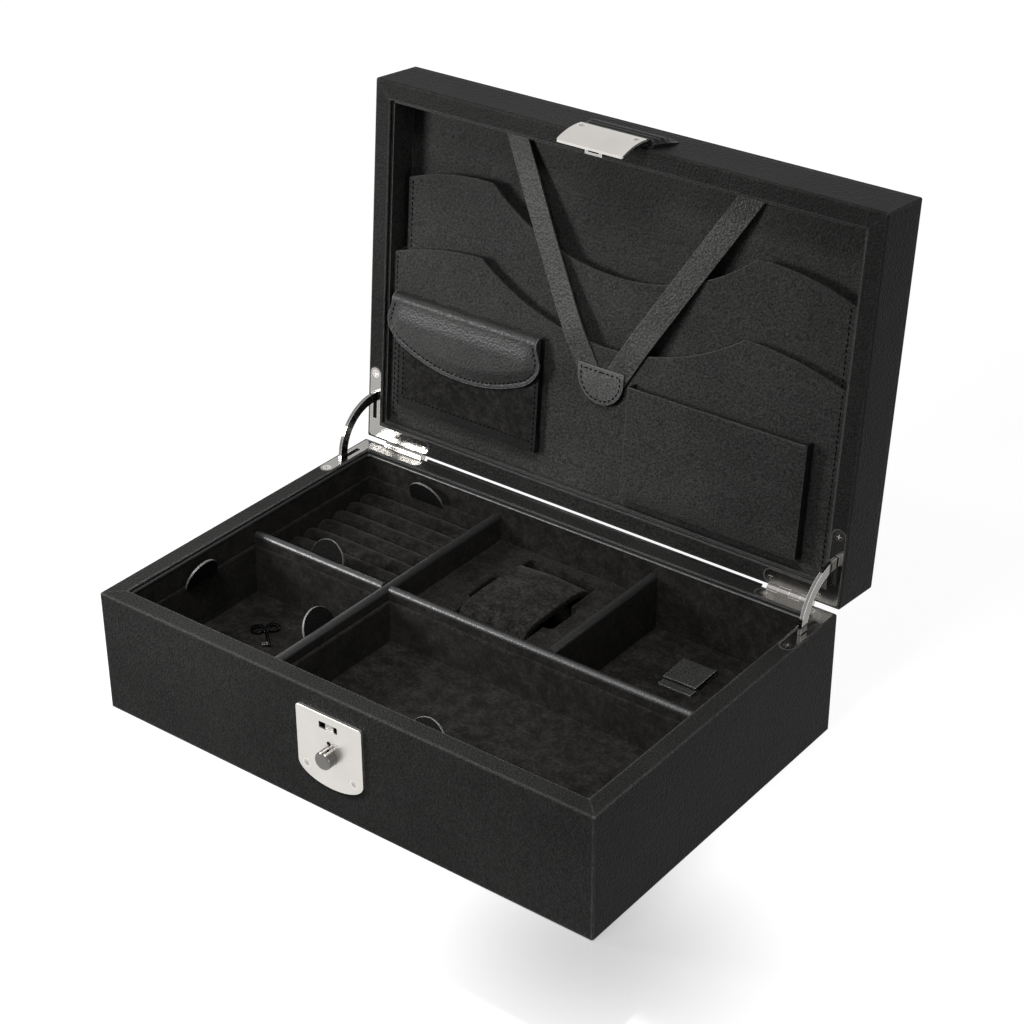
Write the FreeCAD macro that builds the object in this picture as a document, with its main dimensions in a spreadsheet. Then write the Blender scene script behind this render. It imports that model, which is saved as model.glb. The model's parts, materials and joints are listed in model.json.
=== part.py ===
import FreeCAD, Part
import os
import re

import Sketcher
from FreeCAD import Placement, Rotation, Vector

# A leather-covered jewelry box with a hinged lid, lift-out trays and a push-button hasp lock.
# Frame: origin at the middle of the underside, +X to the right, +Y to the back, +Z up.
# Lid pieces are drawn with the lid closed, and their node turns them open about the hinge pins.

doc = FreeCAD.newDocument("JewelryBox")

# Driving sizes, mm and degrees

SIZES = {
    # case halves
    "box_width": 330,
    "box_depth": 222,
    "base_height": 75,
    "lid_height": 35.3,
    "rim_gap": 0.4,
    "wall": 11,
    "skin": 1.2,
    "turn_in": 12,
    "edge_round": 1.2,
    "inner_edge_round": 0.8,
    "seam_gap": 0.2,
    "top_seam_drop": 4.2,
    "pad_inset": 6,
    "pad_thick": 0.8,
    "base_board": 4.2,
    "lid_board": 6.5,
    "lid_backing": 6.5,
    "liner": 1.5,
    "liner_drop": 2.3,
    "floor_liner": 1,
    "soft_gap": 0.3,
    # hinges
    "lid_open_angle": 95,
    "pin_out": 1.1,
    "pin_radius": 1.1,
    "pin_fit": 0.05,
    "barrel_radius": 2.6,
    "knuckle_length": 7,
    "knuckle_gap": 0.25,
    "barrel_inset": 44,
    "leaf_thick": 2,
    "leaf_leg": 7.5,
    "leaf_side_reach": 42,
    "leaf_back_inset": 5.45,
    "leaf_back_reach": 43.5,
    "leaf_corner_round": 2,
    "leaf_corner_inset": 13.5,
    "leaf_margin": 0.25,
    "arm_slot_reach": 31.8,
    "arm_slot_start": 14.1,
    "arm_slot_width": 3.1,
    "arm_outer": 31.4,
    "arm_inner": 25.6,
    "arm_thick": 2,
    "arm_overrun": 10,
    "arm_head_width": 4.4,
    "arm_head_sweep": 4.5,
    "channel_width": 5,
    "channel_slack": 0.6,
    # screws
    "screw_head": 2.4,
    "screw_head_deep": 1.2,
    "screw_shank": 1.1,
    "screw_length": 8,
    "screw_cross": 0.5,
    "screw_cross_deep": 0.6,
    "screw_cross_half": 1.44,
    # compartments
    "divider_thick": 5.5,
    "divider_drop": 9,
    "cross_divider_y": 0,
    "tray_gap": 0.6,
    "tray_wall": 2.5,
    "tray_floor": 2,
    "tray_rim_drop": 15.5,
    "small_tray_drop": 45.5,
    "large_tray_drop": 40.3,
    "floor_panel_drop": 43,
    "floor_panel_thick": 2.5,
    "batten_width": 4,
    "tray_round": 1,
    # ring rolls and tabs
    "roll_count": 7,
    "roll_radius": 6.25,
    "roll_pitch": 12.75,
    "roll_drop": 22,
    "roll_rest": 0.2,
    "tab_radius": 12,
    "tab_thick": 1.6,
    "tab_top_drop": 2.6,
    "tab_root_drop": 20,
    "tab_lean": 20,
    "small_tab_y": -50,
    "ring_tab_in": 50,
    "large_tab_in": 5,
    # watch insert and cuff
    "insert_drop": 25,
    "well_half_width": 24,
    "well_front_gap": 15,
    "well_back_gap": 8.5,
    "well_corner": 3,
    "well_floor_z": 14,
    "notch_deep": 5.5,
    "notch_front_reach": 12.6,
    "notch_back_reach": 13.4,
    "notch_floor_z": 30,
    "cuff_half_width": 22.7,
    "cuff_forward": 1.9,
    "cuff_radius": 33.5,
    "cuff_thick": 4,
    "cuff_tuck": 8,
    # pull loop and key
    "loop_x": 102,
    "loop_width": 21,
    "loop_front": 51,
    "loop_upper_front": 56,
    "loop_back": 76,
    "loop_leather": 1.2,
    "loop_bend": 0.7,
    "key_x": -117.5,
    "key_y": -34,
    "key_turn": -40.6,
    "key_length": 18.4,
    "key_shaft": 1,
    "key_bow_wide": 4.3,
    "key_bow_thick": 1.6,
    "key_bow_hole": 2.2,
    "key_bit": 3.4,
    "key_gap": 0.1,
    # lock
    "plate_half_width": 22,
    "plate_top_drop": 11.4,
    "plate_shoulder_drop": 46,
    "plate_drop": 10.5,
    "plate_thick": 1.8,
    "plate_skin": 1,
    "plate_corner": 2,
    "plate_edge": 0.5,
    "slot_half_width": 6.2,
    "slot_low_drop": 20,
    "slot_high_drop": 16,
    "slot_corner": 0.6,
    "keyhole_drop": 28,
    "keyhole_radius": 1.4,
    "keyhole_neck": 0.6,
    "keyhole_foot_drop": 30.1,
    "lock_screw_x": 16,
    "lock_screw_drop": 46.7,
    "button_drop": 36,
    "button_radius": 5.2,
    "button_proud": 6,
    "button_deep": 9.5,
    "button_fit": 0.08,
    "button_edge": 1.2,
    "button_flange": 6.2,
    "button_flange_thick": 0.8,
    "button_travel": 2.5,
    "case_half_width": 12.5,
    "case_low_drop": 45,
    "case_high_drop": 12.5,
    "case_deep": 8,
    "case_wall": 0.8,
    "case_gap": 0.2,
    "tongue_half_width": 2.75,
    "tongue_drop": 16.8,
    "tongue_thick": 1.2,
    "catch_bar_drop": 26,
    "catch_bar_high": 3,
    "catch_half_width": 11,
    "catch_leg": 3.8,
    "catch_foot_drop": 35,
    "catch_foot_deep": 4.5,
    "catch_gap": 0.1,
    "spring_radius": 1.7,
    "spring_wire": 0.5,
    # hasp and its leather strap
    "hasp_pivot_out": 3,
    "hasp_pivot_up": 1.6,
    "hasp_rest_angle": 5.8,
    "hasp_half_width": 21.3,
    "hasp_length": 23.1,
    "hasp_back_out": 5.84,
    "hasp_back_drop": 0.62,
    "hasp_bow": 1.5,
    "hasp_thick": 1.25,
    "hasp_clear": 0.3,
    "hasp_corner": 2,
    "hasp_trim": 0.2,
    "hasp_screw_out": 0.55,
    "hasp_screw_x": 17.6,
    "hasp_screw_drop": 5,
    "staple_half_width": 5.5,
    "staple_window": 3.45,
    "staple_bar": 1.3,
    "staple_thick": 1.8,
    "staple_root": 0.8,
    "staple_foot": 0.5,
    "staple_drop": 18,
    "staple_tip_in": 2.1,
    "strap_half_width": 27,
    "strap_top_up": 21.6,
    "strap_out": 4.5,
    "strap_knuckle": 2,
    "strap_low_gap": 0.6,
    "strap_edge": 1.2,
    "strap_bow": 1.6,
    "strap_shoulder": 13,
    "strap_backing_half": 20,
    "strap_backing_high": 10,
    "backing_drop": 0.5,
    "backing_in_gap": 0.7,
    "backing_gap": 0.1,
    # lid fittings
    "rear_panel_low": 11.6,
    "rear_panel_inset": 4.5,
    "rear_centre_rise": 129.5,
    "rear_peak_x": 87,
    "rear_peak_rise": 162.5,
    "rear_side_rise": 152,
    "rear_side_bow": 3.3,
    "front_panel_low": 5,
    "front_centre_rise": 90,
    "front_peak_x": 88,
    "front_peak_rise": 119.5,
    "front_side_rise": 107.5,
    "front_side_bow": 2.8,
    "panel_thick": 1.6,
    "rear_panel_gap": 1.5,
    "front_panel_gap": 0.2,
    "panel_clear": 0.1,
    "ribbon_width": 14,
    "ribbon_thick": 1.2,
    "ribbon_dip_run": 6,
    "ribbon_dip": 1,
    "ribbon_rear_gap": 0.7,
    "ribbon_front_gap": 0.6,
    "ribbon_start_x": 76,
    "ribbon_start_inset": 6.5,
    "ribbon_end_x": 8,
    "ribbon_tuck": 6,
    "ribbon_rear_rise": 21,
    "ribbon_front_rise": 0.5,
    "tab_half_width": 15.5,
    "tab_below_mouth": 11.5,
    "tab_high": 22,
    "pouch_inset": 8.5,
    "pouch_width": 104,
    "pouch_high": 69,
    "pouch_rise": 14.5,
    "pouch_out": 5.9,
    "pouch_wall": 1.2,
    "flap_inset": 2.5,
    "flap_over": 2,
    "flap_side_high": 23,
    "flap_tip_high": 39,
    "flap_thick": 1.2,
    "flap_gap": 0.4,
    "pocket_width": 115,
    "pocket_inset": 16.5,
    "pocket_high": 67.5,
    "pocket_rise": 7.5,
    "pocket_out": 7.4,
    "pocket_wall": 1.6,
    "pocket_edge": 0.6,
}

# Worked out from the sizes above, each by name.
FORMULAS = {
    "half_width": "box_width/2",
    "half_depth": "box_depth/2",
    "inner_x": "half_width - wall",
    "inner_y": "half_depth - wall",
    "liner_x": "inner_x - liner",
    "liner_y": "inner_y - liner",
    "rim_z": "base_height",
    "lid_rim_z": "base_height + rim_gap",
    "lid_top_z": "lid_rim_z + lid_height",
    "lid_board_z": "lid_top_z - skin - lid_board",
    "ceiling_z": "lid_board_z - lid_backing - liner",
    "board_top_z": "pad_thick + base_board",
    "floor_z": "board_top_z + floor_liner",
    "divider_top_z": "rim_z - divider_drop",
    "divider_half": "divider_thick/2",
    "pin_y": "half_depth + pin_out",
    "pin_z": "base_height + rim_gap/2",
    "leaf_half": "leaf_leg/2",
    "well_front": "cross_divider_y + well_front_gap",
    "well_back": "liner_y - well_back_gap",
    "cuff_y": "(well_front + well_back)/2 - cuff_forward",
    "notch_front": "cuff_y - notch_front_reach",
    "notch_back": "cuff_y + notch_back_reach",
    "tray_rim_z": "rim_z - tray_rim_drop",
    "small_tray_floor_z": "rim_z - small_tray_drop",
    "large_tray_floor_z": "rim_z - large_tray_drop",
    "floor_panel_z": "rim_z - floor_panel_drop",
    "roll_top_z": "rim_z - roll_drop",
    "tab_top_z": "rim_z - tab_top_drop",
    "tab_root_z": "rim_z - tab_root_drop",
    "insert_top_z": "rim_z - insert_drop",
    "plate_top_z": "rim_z - plate_top_drop",
    "plate_shoulder_z": "rim_z - plate_shoulder_drop",
    "slot_low_z": "rim_z - slot_low_drop",
    "slot_high_z": "rim_z - slot_high_drop",
    "keyhole_z": "rim_z - keyhole_drop",
    "keyhole_foot_z": "rim_z - keyhole_foot_drop",
    "lock_screw_z": "rim_z - lock_screw_drop",
    "button_z": "rim_z - button_drop",
    "case_low_z": "rim_z - case_low_drop",
    "case_high_z": "rim_z - case_high_drop",
    "tongue_top_z": "rim_z - tongue_drop",
    "catch_bar_z": "rim_z - catch_bar_drop",
    "catch_foot_z": "rim_z - catch_foot_drop",
    "staple_z": "rim_z - staple_drop",
    "barrel_start": "half_width - barrel_inset",
    "leaf_side_end": "half_depth - leaf_side_reach",
    "leaf_back_y": "half_depth - leaf_back_inset",
    "leaf_back_end": "half_width - leaf_back_reach",
    "leaf_corner_screw": "half_width - leaf_corner_inset",
    "arm_slot_front": "pin_y - arm_slot_reach",
    "arm_slot_back": "pin_y - arm_slot_start",
    "rear_panel_half": "liner_x - rear_panel_inset",
    "rear_centre_y": "liner_y - rear_centre_rise",
    "rear_peak_y": "liner_y - rear_peak_rise",
    "rear_side_y": "liner_y - rear_side_rise",
    "front_centre_y": "liner_y - front_centre_rise",
    "front_peak_y": "liner_y - front_peak_rise",
    "front_side_y": "liner_y - front_side_rise",
    "ribbon_start_y": "-liner_y + ribbon_start_inset",
    "ribbon_end_y": "tab_front_y + ribbon_tuck",
    "ribbon_rear_y": "rear_centre_y - ribbon_rear_rise",
    "ribbon_front_y": "front_centre_y - ribbon_front_rise",
    "tab_front_y": "front_centre_y + tab_below_mouth",
    "tab_back_y": "tab_front_y + tab_high",
    "pouch_left": "-liner_x + pouch_inset",
    "pouch_right": "pouch_left + pouch_width",
    "pouch_front": "pouch_back - pouch_high",
    "pouch_back": "liner_y - pouch_rise",
    "flap_left": "-liner_x + flap_inset",
    "flap_right": "pouch_right + flap_over",
    "flap_side_y": "pouch_front + flap_side_high",
    "flap_tip_y": "pouch_front + flap_tip_high",
    "pocket_left": "pocket_right - pocket_width",
    "pocket_right": "liner_x - pocket_inset",
    "pocket_front": "pocket_back - pocket_high",
    "pocket_back": "liner_y - pocket_rise",
    "leaf_side_x": "half_width - wall/2",
    "left_divider_x": "-half_width/3",
    "right_divider_x": "half_width/3",
    "ring_tab_x": "left_divider_x - ring_tab_in",
    "large_tab_x": "right_divider_x - large_tab_in",
    "channel_sweep": "lid_open_angle/2 + arm_overrun + 3",
    "barrel_end": "barrel_start + 4*knuckle_length",
    "roll_z": "roll_top_z - roll_radius",
    "ring_tray_floor_z": "roll_z - roll_radius - roll_rest",
    "plate_y": "-half_depth - plate_thick",
    "catch_y": "plate_y + plate_skin + catch_gap",
    "case_back_y": "-half_depth + case_deep",
    "hasp_pivot_y": "-half_depth - hasp_pivot_out",
    "hasp_pivot_z": "lid_rim_z + hasp_pivot_up",
    "hasp_back_y": "-half_depth - hasp_back_out",
    "hasp_back_z": "lid_rim_z - hasp_back_drop",
    "hasp_front_out": "plate_thick + hasp_clear + hasp_thick",
    "hasp_tilt": "asin((hasp_back_out - hasp_front_out)/hasp_length)",
    "rear_panel_z": "lid_rim_z + rear_panel_low",
    "front_panel_z": "lid_rim_z + front_panel_low",
}

sheet = doc.addObject("Spreadsheet::Sheet", "Sizes")
for row, (alias, number) in enumerate(SIZES.items(), start=1):
    sheet.set(f"A{row}", alias)
    sheet.set(f"B{row}", str(number))
    sheet.setAlias(f"B{row}", alias)
doc.recompute()


# Formulas and building blocks

def full(formula):
    """Spells a formula out in cells of the sheet."""
    def spell(match):
        word = match.group(0)
        if word in FORMULAS:
            return f"({full(FORMULAS[word])})"
        return f"Sizes.{word}" if word in SIZES else word
    return re.sub(r"[A-Za-z_]\w*", spell, str(formula))


def value(formula):
    result = sheet.evalExpression(full(formula))
    return float(getattr(result, "Value", result))


def bind(item, **formulas):
    for prop, formula in formulas.items():
        item.setExpression(prop.replace("__", "."), full(formula))
    return item


def block(name, x, y, z):
    """A box between the low and high formula of each axis."""
    item = doc.addObject("Part::Box", name)
    for side, axis, (low, high) in (("Length", "x", x), ("Width", "y", y), ("Height", "z", z)):
        bind(item, **{side: f"({high}) - ({low})", f"Placement__Base__{axis}": low})
    return item


AXIS_TURN = {"x": Rotation(Vector(0, 1, 0), 90), "y": Rotation(Vector(1, 0, 0), -90), "z": Rotation()}


def rod(name, axis, radius, span, **centre):
    """A round bar along an axis, from the low to the high formula of span."""
    item = doc.addObject("Part::Cylinder", name)
    item.Placement = Placement(Vector(), AXIS_TURN[axis])
    bind(item, Radius=radius, Height=f"({span[1]}) - ({span[0]})")
    bind(item, **{f"Placement__Base__{axis}": span[0]})
    bind(item, **{f"Placement__Base__{other}": place for other, place in centre.items()})
    return item


def fuse(name, *parts):
    item = doc.addObject("Part::MultiFuse", name)
    item.Shapes = list(parts)
    item.Refine = True
    return item


def cut(name, base, *tools):
    item = doc.addObject("Part::Cut", name)
    item.Base = base
    item.Tool = tools[0] if len(tools) == 1 else fuse(name + "Tools", *tools)
    item.Refine = True
    return item


def common(name, base, tool):
    item = doc.addObject("Part::Common", name)
    item.Base = base
    item.Tool = tool
    item.Refine = True
    return item


def mirrored(name, source, normal, **base):
    item = doc.addObject("Part::Mirroring", name)
    item.Source = source
    item.Normal = normal
    return bind(item, **{f"Base__{axis}": place for axis, place in base.items()})


def group(name, *parts):
    item = doc.addObject("Part::Compound", name)
    item.Links = list(parts)
    return item


def placed(name, source, turn, **place):
    """A copy of a piece, turned and then set down at a place."""
    item = group(name, source)
    item.Placement = Placement(Vector(), turn)
    return bind(item, **{f"Placement__Base__{axis}": where for axis, where in place.items()})


def turned(name, parts, angle, y, z):
    """Pieces turned by an angle about the line along X through y, z."""
    item = group(name, *parts)
    item.Placement = Placement(Vector(), Rotation(Vector(1, 0, 0), value(angle)))
    turn = f"({angle})*1deg"
    return bind(
        item,
        Placement__Rotation__Angle=angle,
        Placement__Base__y=f"({y}) - ({y})*cos({turn}) + ({z})*sin({turn})",
        Placement__Base__z=f"({z}) - ({y})*sin({turn}) - ({z})*cos({turn})",
    )


def rounded(name, base, radius, chosen):
    """Rounds the edges whose middle point passes the test."""
    doc.recompute()
    item = doc.addObject("Part::Fillet", name)
    item.Base = base
    size = value(radius)
    edges = enumerate(base.Shape.Edges, start=1)
    item.Edges = [(number, size, size) for number, edge in edges if chosen(edge)]
    return item


def middle(edge):
    return edge.valueAt((edge.FirstParameter + edge.LastParameter)/2)


def near(one, other):
    return abs(one - other) < 0.01


PLANE_ROLE = {"XY": "XY_Plane", "XZ": "XZ_Plane", "YZ": "YZ_Plane"}


def add_outline(sketch, points):
    """Closes a loop through points; a third entry bows the side that follows by that sagitta."""
    spots = [Vector(value(point[0]), value(point[1]), 0) for point in points]
    ends = []
    for index, point in enumerate(points):
        start, stop = spots[index], spots[(index + 1) % len(points)]
        if len(point) == 2:
            curve = Part.LineSegment(start, stop)
        else:
            side = (stop - start).cross(Vector(0, 0, 1)).normalize()
            curve = Part.Arc(start, (start + stop)/2 + side*value(point[2]), stop)
        number = sketch.addGeometry(curve, False)
        forward = (sketch.getPoint(number, 1) - start).Length < 1e-6
        ends.append((number, 1, 2) if forward else (number, 2, 1))
    for index, point in enumerate(points):
        number, start, stop = ends[index]
        follow = (index + 1) % len(points)
        for kind, formula in zip(("DistanceX", "DistanceY"), point):
            limit = Sketcher.Constraint(kind, -1, 1, number, start, value(formula))
            bind_constraint(sketch, limit, formula)
        sketch.addConstraint(Sketcher.Constraint("Coincident", number, stop, ends[follow][0],
                                                 ends[follow][1]))
        if len(point) == 3:
            across, along = (f"(({points[follow][axis]}) - ({point[axis]}))" for axis in (0, 1))
            sag = f"abs({point[2]})"
            radius = f"(({across}^2 + {along}^2)/4 + {sag}^2)/(2*{sag})"
            bind_constraint(sketch, Sketcher.Constraint("Radius", number, value(radius)), radius)


def bind_constraint(sketch, constraint, formula):
    index = sketch.addConstraint(constraint)
    sketch.setExpression(f"Constraints[{index}]", full(formula))


def add_circle(sketch, x, y, radius):
    circle = Part.Circle(Vector(value(x), value(y), 0), Vector(0, 0, 1), value(radius))
    number = sketch.addGeometry(circle, False)
    for kind, formula in (("DistanceX", x), ("DistanceY", y)):
        bind_constraint(sketch, Sketcher.Constraint(kind, -1, 1, number, 3, value(formula)), formula)
    bind_constraint(sketch, Sketcher.Constraint("Radius", number, value(radius)), radius)


def pad(name, plane, span, outline, *holes):
    """A body padded from one sketched outline, between two formulas along the plane's normal."""
    body = doc.addObject("PartDesign::Body", name)
    support = next(f for f in body.Origin.OriginFeatures if f.Role == PLANE_ROLE[plane])
    sketch = body.newObject("Sketcher::SketchObject", name + "Sketch")
    sketch.AttachmentSupport = [(support, "")]
    sketch.MapMode = "FlatFace"
    offset = f"-({span[1]})" if plane == "XZ" else span[0]
    bind(sketch, AttachmentOffset__Base__z=offset)
    for loop in (outline, *holes):
        if isinstance(loop, tuple):
            add_circle(sketch, *loop)
        else:
            add_outline(sketch, loop)
    feature = body.newObject("PartDesign::Pad", name + "Pad")
    feature.Profile = sketch
    bind(feature, Length=f"({span[1]}) - ({span[0]})")
    sketch.Visibility = False
    return body


def quarter(radius):
    """The sagitta of a quarter circle."""
    return f"({radius})*(1 - sqrt(0.5))"


def rectangle(x, y):
    return [(x[0], y[0]), (x[1], y[0]), (x[1], y[1]), (x[0], y[1])]


def soft_rectangle(x, y, radius):
    """A rectangle with four quarter-round corners, counterclockwise."""
    low_x, high_x, low_y, high_y = x[0], x[1], y[0], y[1]
    bow = quarter(radius)
    return [
        (f"({low_x}) + ({radius})", low_y),
        (f"({high_x}) - ({radius})", low_y, bow),
        (high_x, f"({low_y}) + ({radius})"),
        (high_x, f"({high_y}) - ({radius})", bow),
        (f"({high_x}) - ({radius})", high_y),
        (f"({low_x}) + ({radius})", high_y, bow),
        (low_x, f"({high_y}) - ({radius})"),
        (low_x, f"({low_y}) + ({radius})", bow),
    ]


# Nodes

nodes = []


def node(name, *parts):
    """A finished piece, or a set of like pieces, that stays with the base at rest."""
    item = group(name, *parts)
    item.Label = name
    nodes.append(item)
    return item


def lid_node(name, *parts):
    """A finished piece drawn with the lid closed, and turned open with it."""
    item = turned(name, parts, "-lid_open_angle", "pin_y", "pin_z")
    item.Label = name
    nodes.append(item)
    return item


# Hinge shapes that the case is cut for

def leaf_outline(margin):
    """The right-hand L leaf seen from above, with round ends, grown by a margin."""
    arm = f"(leaf_half + {margin})"
    bow = quarter(arm)
    corner = f"(leaf_corner_round + {margin})"
    return [
        ("leaf_side_x", f"leaf_side_end - {arm}", bow),
        (f"leaf_side_x + {arm}", "leaf_side_end"),
        (f"leaf_side_x + {arm}", f"leaf_back_y + {arm} - {corner}", quarter(corner)),
        (f"leaf_side_x + {arm} - {corner}", f"leaf_back_y + {arm}"),
        ("leaf_back_end", f"leaf_back_y + {arm}", bow),
        (f"leaf_back_end - {arm}", "leaf_back_y", bow),
        ("leaf_back_end", f"leaf_back_y - {arm}"),
        (f"leaf_side_x - {arm}", f"leaf_back_y - {arm}"),
        (f"leaf_side_x - {arm}", "leaf_side_end", bow),
    ]


def ring_sector(name, x, radii, low, high):
    """A ring about the hinge pins between two angles, measured up from the front of the rim plane."""
    outer = doc.addObject("Part::Cylinder", name + "Outer")
    bind(outer, Radius=radii[1], Height=f"({x[1]}) - ({x[0]})", Angle=f"({high}) - ({low})")
    inner = doc.addObject("Part::Cylinder", name + "Inner")
    bind(inner, Radius=radii[0], Height=f"({x[1]}) - ({x[0]}) + 2", Placement__Base__z=-1)
    flat = cut(name + "Flat", outer, inner)
    bind(flat, Placement__Rotation__Angle=f"-({high})")
    to_pins = Rotation(Vector(0, -1, 0), Vector(0, 0, -1), Vector(1, 0, 0), "ZXY")
    return placed(name, flat, to_pins, x=x[0], y="pin_y", z="pin_z")


def both_sides(name, right):
    return fuse(name, right, mirrored(name + "Left", right, (1, 0, 0)))


def upside(name, lower):
    """The same shape on the other side of the plane through the pins."""
    return mirrored(name, lower, (0, 0, 1), z="pin_z")


slot_x = [f"leaf_side_x {sign} arm_slot_width/2" for sign in "-+"]
leaf_plain = pad("LeafPlain", "XY", ("rim_z - leaf_thick", "rim_z"), leaf_outline("0"),
                 rectangle(slot_x, ("arm_slot_front", "arm_slot_back")))
leaf_seat = pad("LeafSeat", "XY", ("rim_z - leaf_thick", "rim_z + 1"), leaf_outline("leaf_margin"))
barrel_room = block("BarrelRoom",
                    ("barrel_start - knuckle_gap", "barrel_end + knuckle_gap"),
                    ("leaf_back_y + leaf_half - 0.5", "half_depth + 1"),
                    ("pin_z - barrel_radius - 0.3", "rim_z + 1"))
arm_channel = ring_sector("ArmChannel",
                          ("leaf_side_x - channel_width/2", "leaf_side_x + channel_width/2"),
                          ("arm_inner - channel_slack", "arm_outer + channel_slack"),
                          "-channel_sweep", "channel_sweep")

screw_cone = bind(doc.addObject("Part::Cone", "ScrewCone"), Radius1="screw_shank", Radius2="screw_head",
                  Height="screw_head_deep", Placement__Base__z="-screw_head_deep")
screw_blank = fuse("ScrewBlank", screw_cone,
                   rod("ScrewShank", "z", "screw_shank", ("-screw_length", "-0.5"),
                                                 x="0", y="0"))
screw = cut("Screw", screw_blank,
            block("CrossAlong", ("-screw_cross_half", "screw_cross_half"),
                  ("-screw_cross/2", "screw_cross/2"),
                  ("-screw_cross_deep", "1")),
            block("CrossOver", ("-screw_cross/2", "screw_cross/2"),
                  ("-screw_cross_half", "screw_cross_half"),
                  ("-screw_cross_deep", "1")))

FACING_UP = Rotation()
FACING_DOWN = Rotation(Vector(1, 0, 0), 180)
FACING_FRONT = Rotation(Vector(1, 0, 0), 90)
LEAF_SCREWS = {"Side": ("leaf_side_x", "leaf_side_end"), "Corner": ("leaf_corner_screw", "leaf_back_y"),
               "Back": ("leaf_back_end", "leaf_back_y")}


def leaf_screws(name, source, turn, z):
    """Three screws on each leaf, left and right."""
    return [placed(f"{name}{spot}{side}", source, turn, x=f"({sign})*{x}", y=y, z=z)
            for spot, (x, y) in LEAF_SCREWS.items() for side, sign in (("Left", -1), ("Right", 1))]


base_screw_holes = group("BaseScrewHoles", *leaf_screws("BaseHole", screw_blank, FACING_UP, "rim_z"))
lid_screw_holes = group("LidScrewHoles", *leaf_screws("LidHole", screw_blank, FACING_DOWN, "lid_rim_z"))
hinge_room = both_sides("HingeRoom", fuse("HingeRoomRight", leaf_seat, barrel_room, arm_channel))
lid_hinge_room = upside("LidHingeRoom", hinge_room)

lock_room = block("LockRoom", ("-case_half_width - case_gap", "case_half_width + case_gap"),
                  ("-half_depth - 1", "case_back_y + case_gap"),
                  ("case_low_z - case_gap", "case_high_z + case_gap"))


# The two case halves

def mitre(name, side, z):
    """A wedge that ends one side of the case at forty-five degrees."""
    trim = "seam_gap/2"
    x_out, y_out, x_in, y_in = "half_width", "half_depth", "inner_x", "inner_y"
    if side in ("Front", "Back"):
        x_out, x_in = f"{x_out} - {trim}", f"{x_in} - {trim}"
        sign = "-1" if side == "Front" else "1"
        outline = [(f"-({x_out})", f"{sign}*{y_out}"), (x_out, f"{sign}*{y_out}"),
                   (x_in, f"{sign}*{y_in}"), (f"-({x_in})", f"{sign}*{y_in}")]
    else:
        y_out, y_in = f"{y_out} - {trim}", f"{y_in} - {trim}"
        sign = "-1" if side == "Left" else "1"
        outline = [(f"{sign}*{x_out}", f"-({y_out})"), (f"{sign}*{x_out}", y_out),
                   (f"{sign}*{x_in}", y_in), (f"{sign}*{x_in}", f"-({y_in})")]
    return pad(f"{name}{side}Wedge", "XY", z, outline)


def case_half(name, outer_z, wood_z, cavity_z, rebate_z, rim, seam_z):
    """The wooden half with its cavity, and the leather skin that wraps it."""
    outer = block(name + "Outer", ("-half_width", "half_width"), ("-half_depth", "half_depth"), outer_z)
    wood = block(name + "Wood", ("-half_width + skin", "half_width - skin"),
                 ("-half_depth + skin", "half_depth - skin"), wood_z)
    cavity = block(name + "Cavity", ("-inner_x", "inner_x"), ("-inner_y", "inner_y"), cavity_z)
    rebate = block(name + "Rebate", ("-inner_x - skin", "inner_x + skin"),
                   ("-inner_y - skin", "inner_y + skin"), rebate_z)
    carcass = cut(name + "Carcass", wood, cavity, rebate)
    rim_height = value(rim)
    smooth = rounded(name + "Smooth", outer, "edge_round",
                     lambda edge: abs(edge.tangentAt(0).z) > 0.9 or not near(middle(edge).z,
                                                                             value("pad_thick")))
    shell = cut(name + "Shell", smooth, carcass, cavity)
    skin = rounded(name + "Skin", shell, "inner_edge_round",
                   lambda edge: near(middle(edge).z, rim_height)
                   and (near(abs(middle(edge).x), value("inner_x")) and near(middle(edge).y, 0)
                        or near(abs(middle(edge).y), value("inner_y")) and near(middle(edge).x, 0)))
    panels = [common(f"{name}{side}Panel", skin, mitre(name, side, seam_z))
              for side in ("Front", "Back", "Left", "Right")]
    return carcass, skin, panels


base_wood, base_skin, base_panels = case_half(
    "Base", ("pad_thick", "rim_z"), ("pad_thick", "rim_z - skin"), ("board_top_z", "rim_z + 1"),
    ("rim_z - turn_in", "rim_z + 1"), "rim_z", ("pad_thick", "rim_z"))
lid_wood, lid_skin, lid_panels = case_half(
    "Lid", ("lid_rim_z", "lid_top_z"), ("lid_rim_z + skin", "lid_top_z - skin"),
    ("lid_rim_z - 1", "lid_board_z"), ("lid_rim_z - 1", "lid_rim_z + turn_in"), "lid_rim_z",
    ("lid_rim_z", "lid_top_z - top_seam_drop"))

node("base_pad", pad("BasePad", "XY", ("0", "pad_thick"), soft_rectangle(
    ("-half_width + pad_inset", "half_width - pad_inset"),
    ("-half_depth + pad_inset", "half_depth - pad_inset"), "pad_inset")))

lock_screw_holes = group("LockScrewHoles", *[
    placed(f"LockHole{side}", screw_blank, FACING_FRONT, x=f"({sign})*lock_screw_x", y="plate_y",
           z="lock_screw_z")
    for side, sign in (("Left", -1), ("Right", 1))])
node("base_carcass",
     cut("BaseCarcassCut", base_wood, hinge_room, base_screw_holes, lock_room, lock_screw_holes))
node("base_cover", *[cut(f"BaseCover{number}", panel, hinge_room, lock_room, lock_screw_holes)
                     for number, panel in enumerate(base_panels)])
lid_node("lid_carcass", cut("LidCarcassCut", lid_wood, lid_hinge_room, lid_screw_holes))
lid_top = common("LidTopPanel", lid_skin, block(
    "LidTopZone", ("-box_width", "box_width"), ("-box_depth", "box_depth"),
    ("lid_top_z - top_seam_drop + seam_gap", "lid_top_z + 1")))
lid_node("lid_cover", lid_top, *[cut(f"LidCover{number}", panel, lid_hinge_room)
                                 for number, panel in enumerate(lid_panels)])


# Linings, dividers and supports

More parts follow.
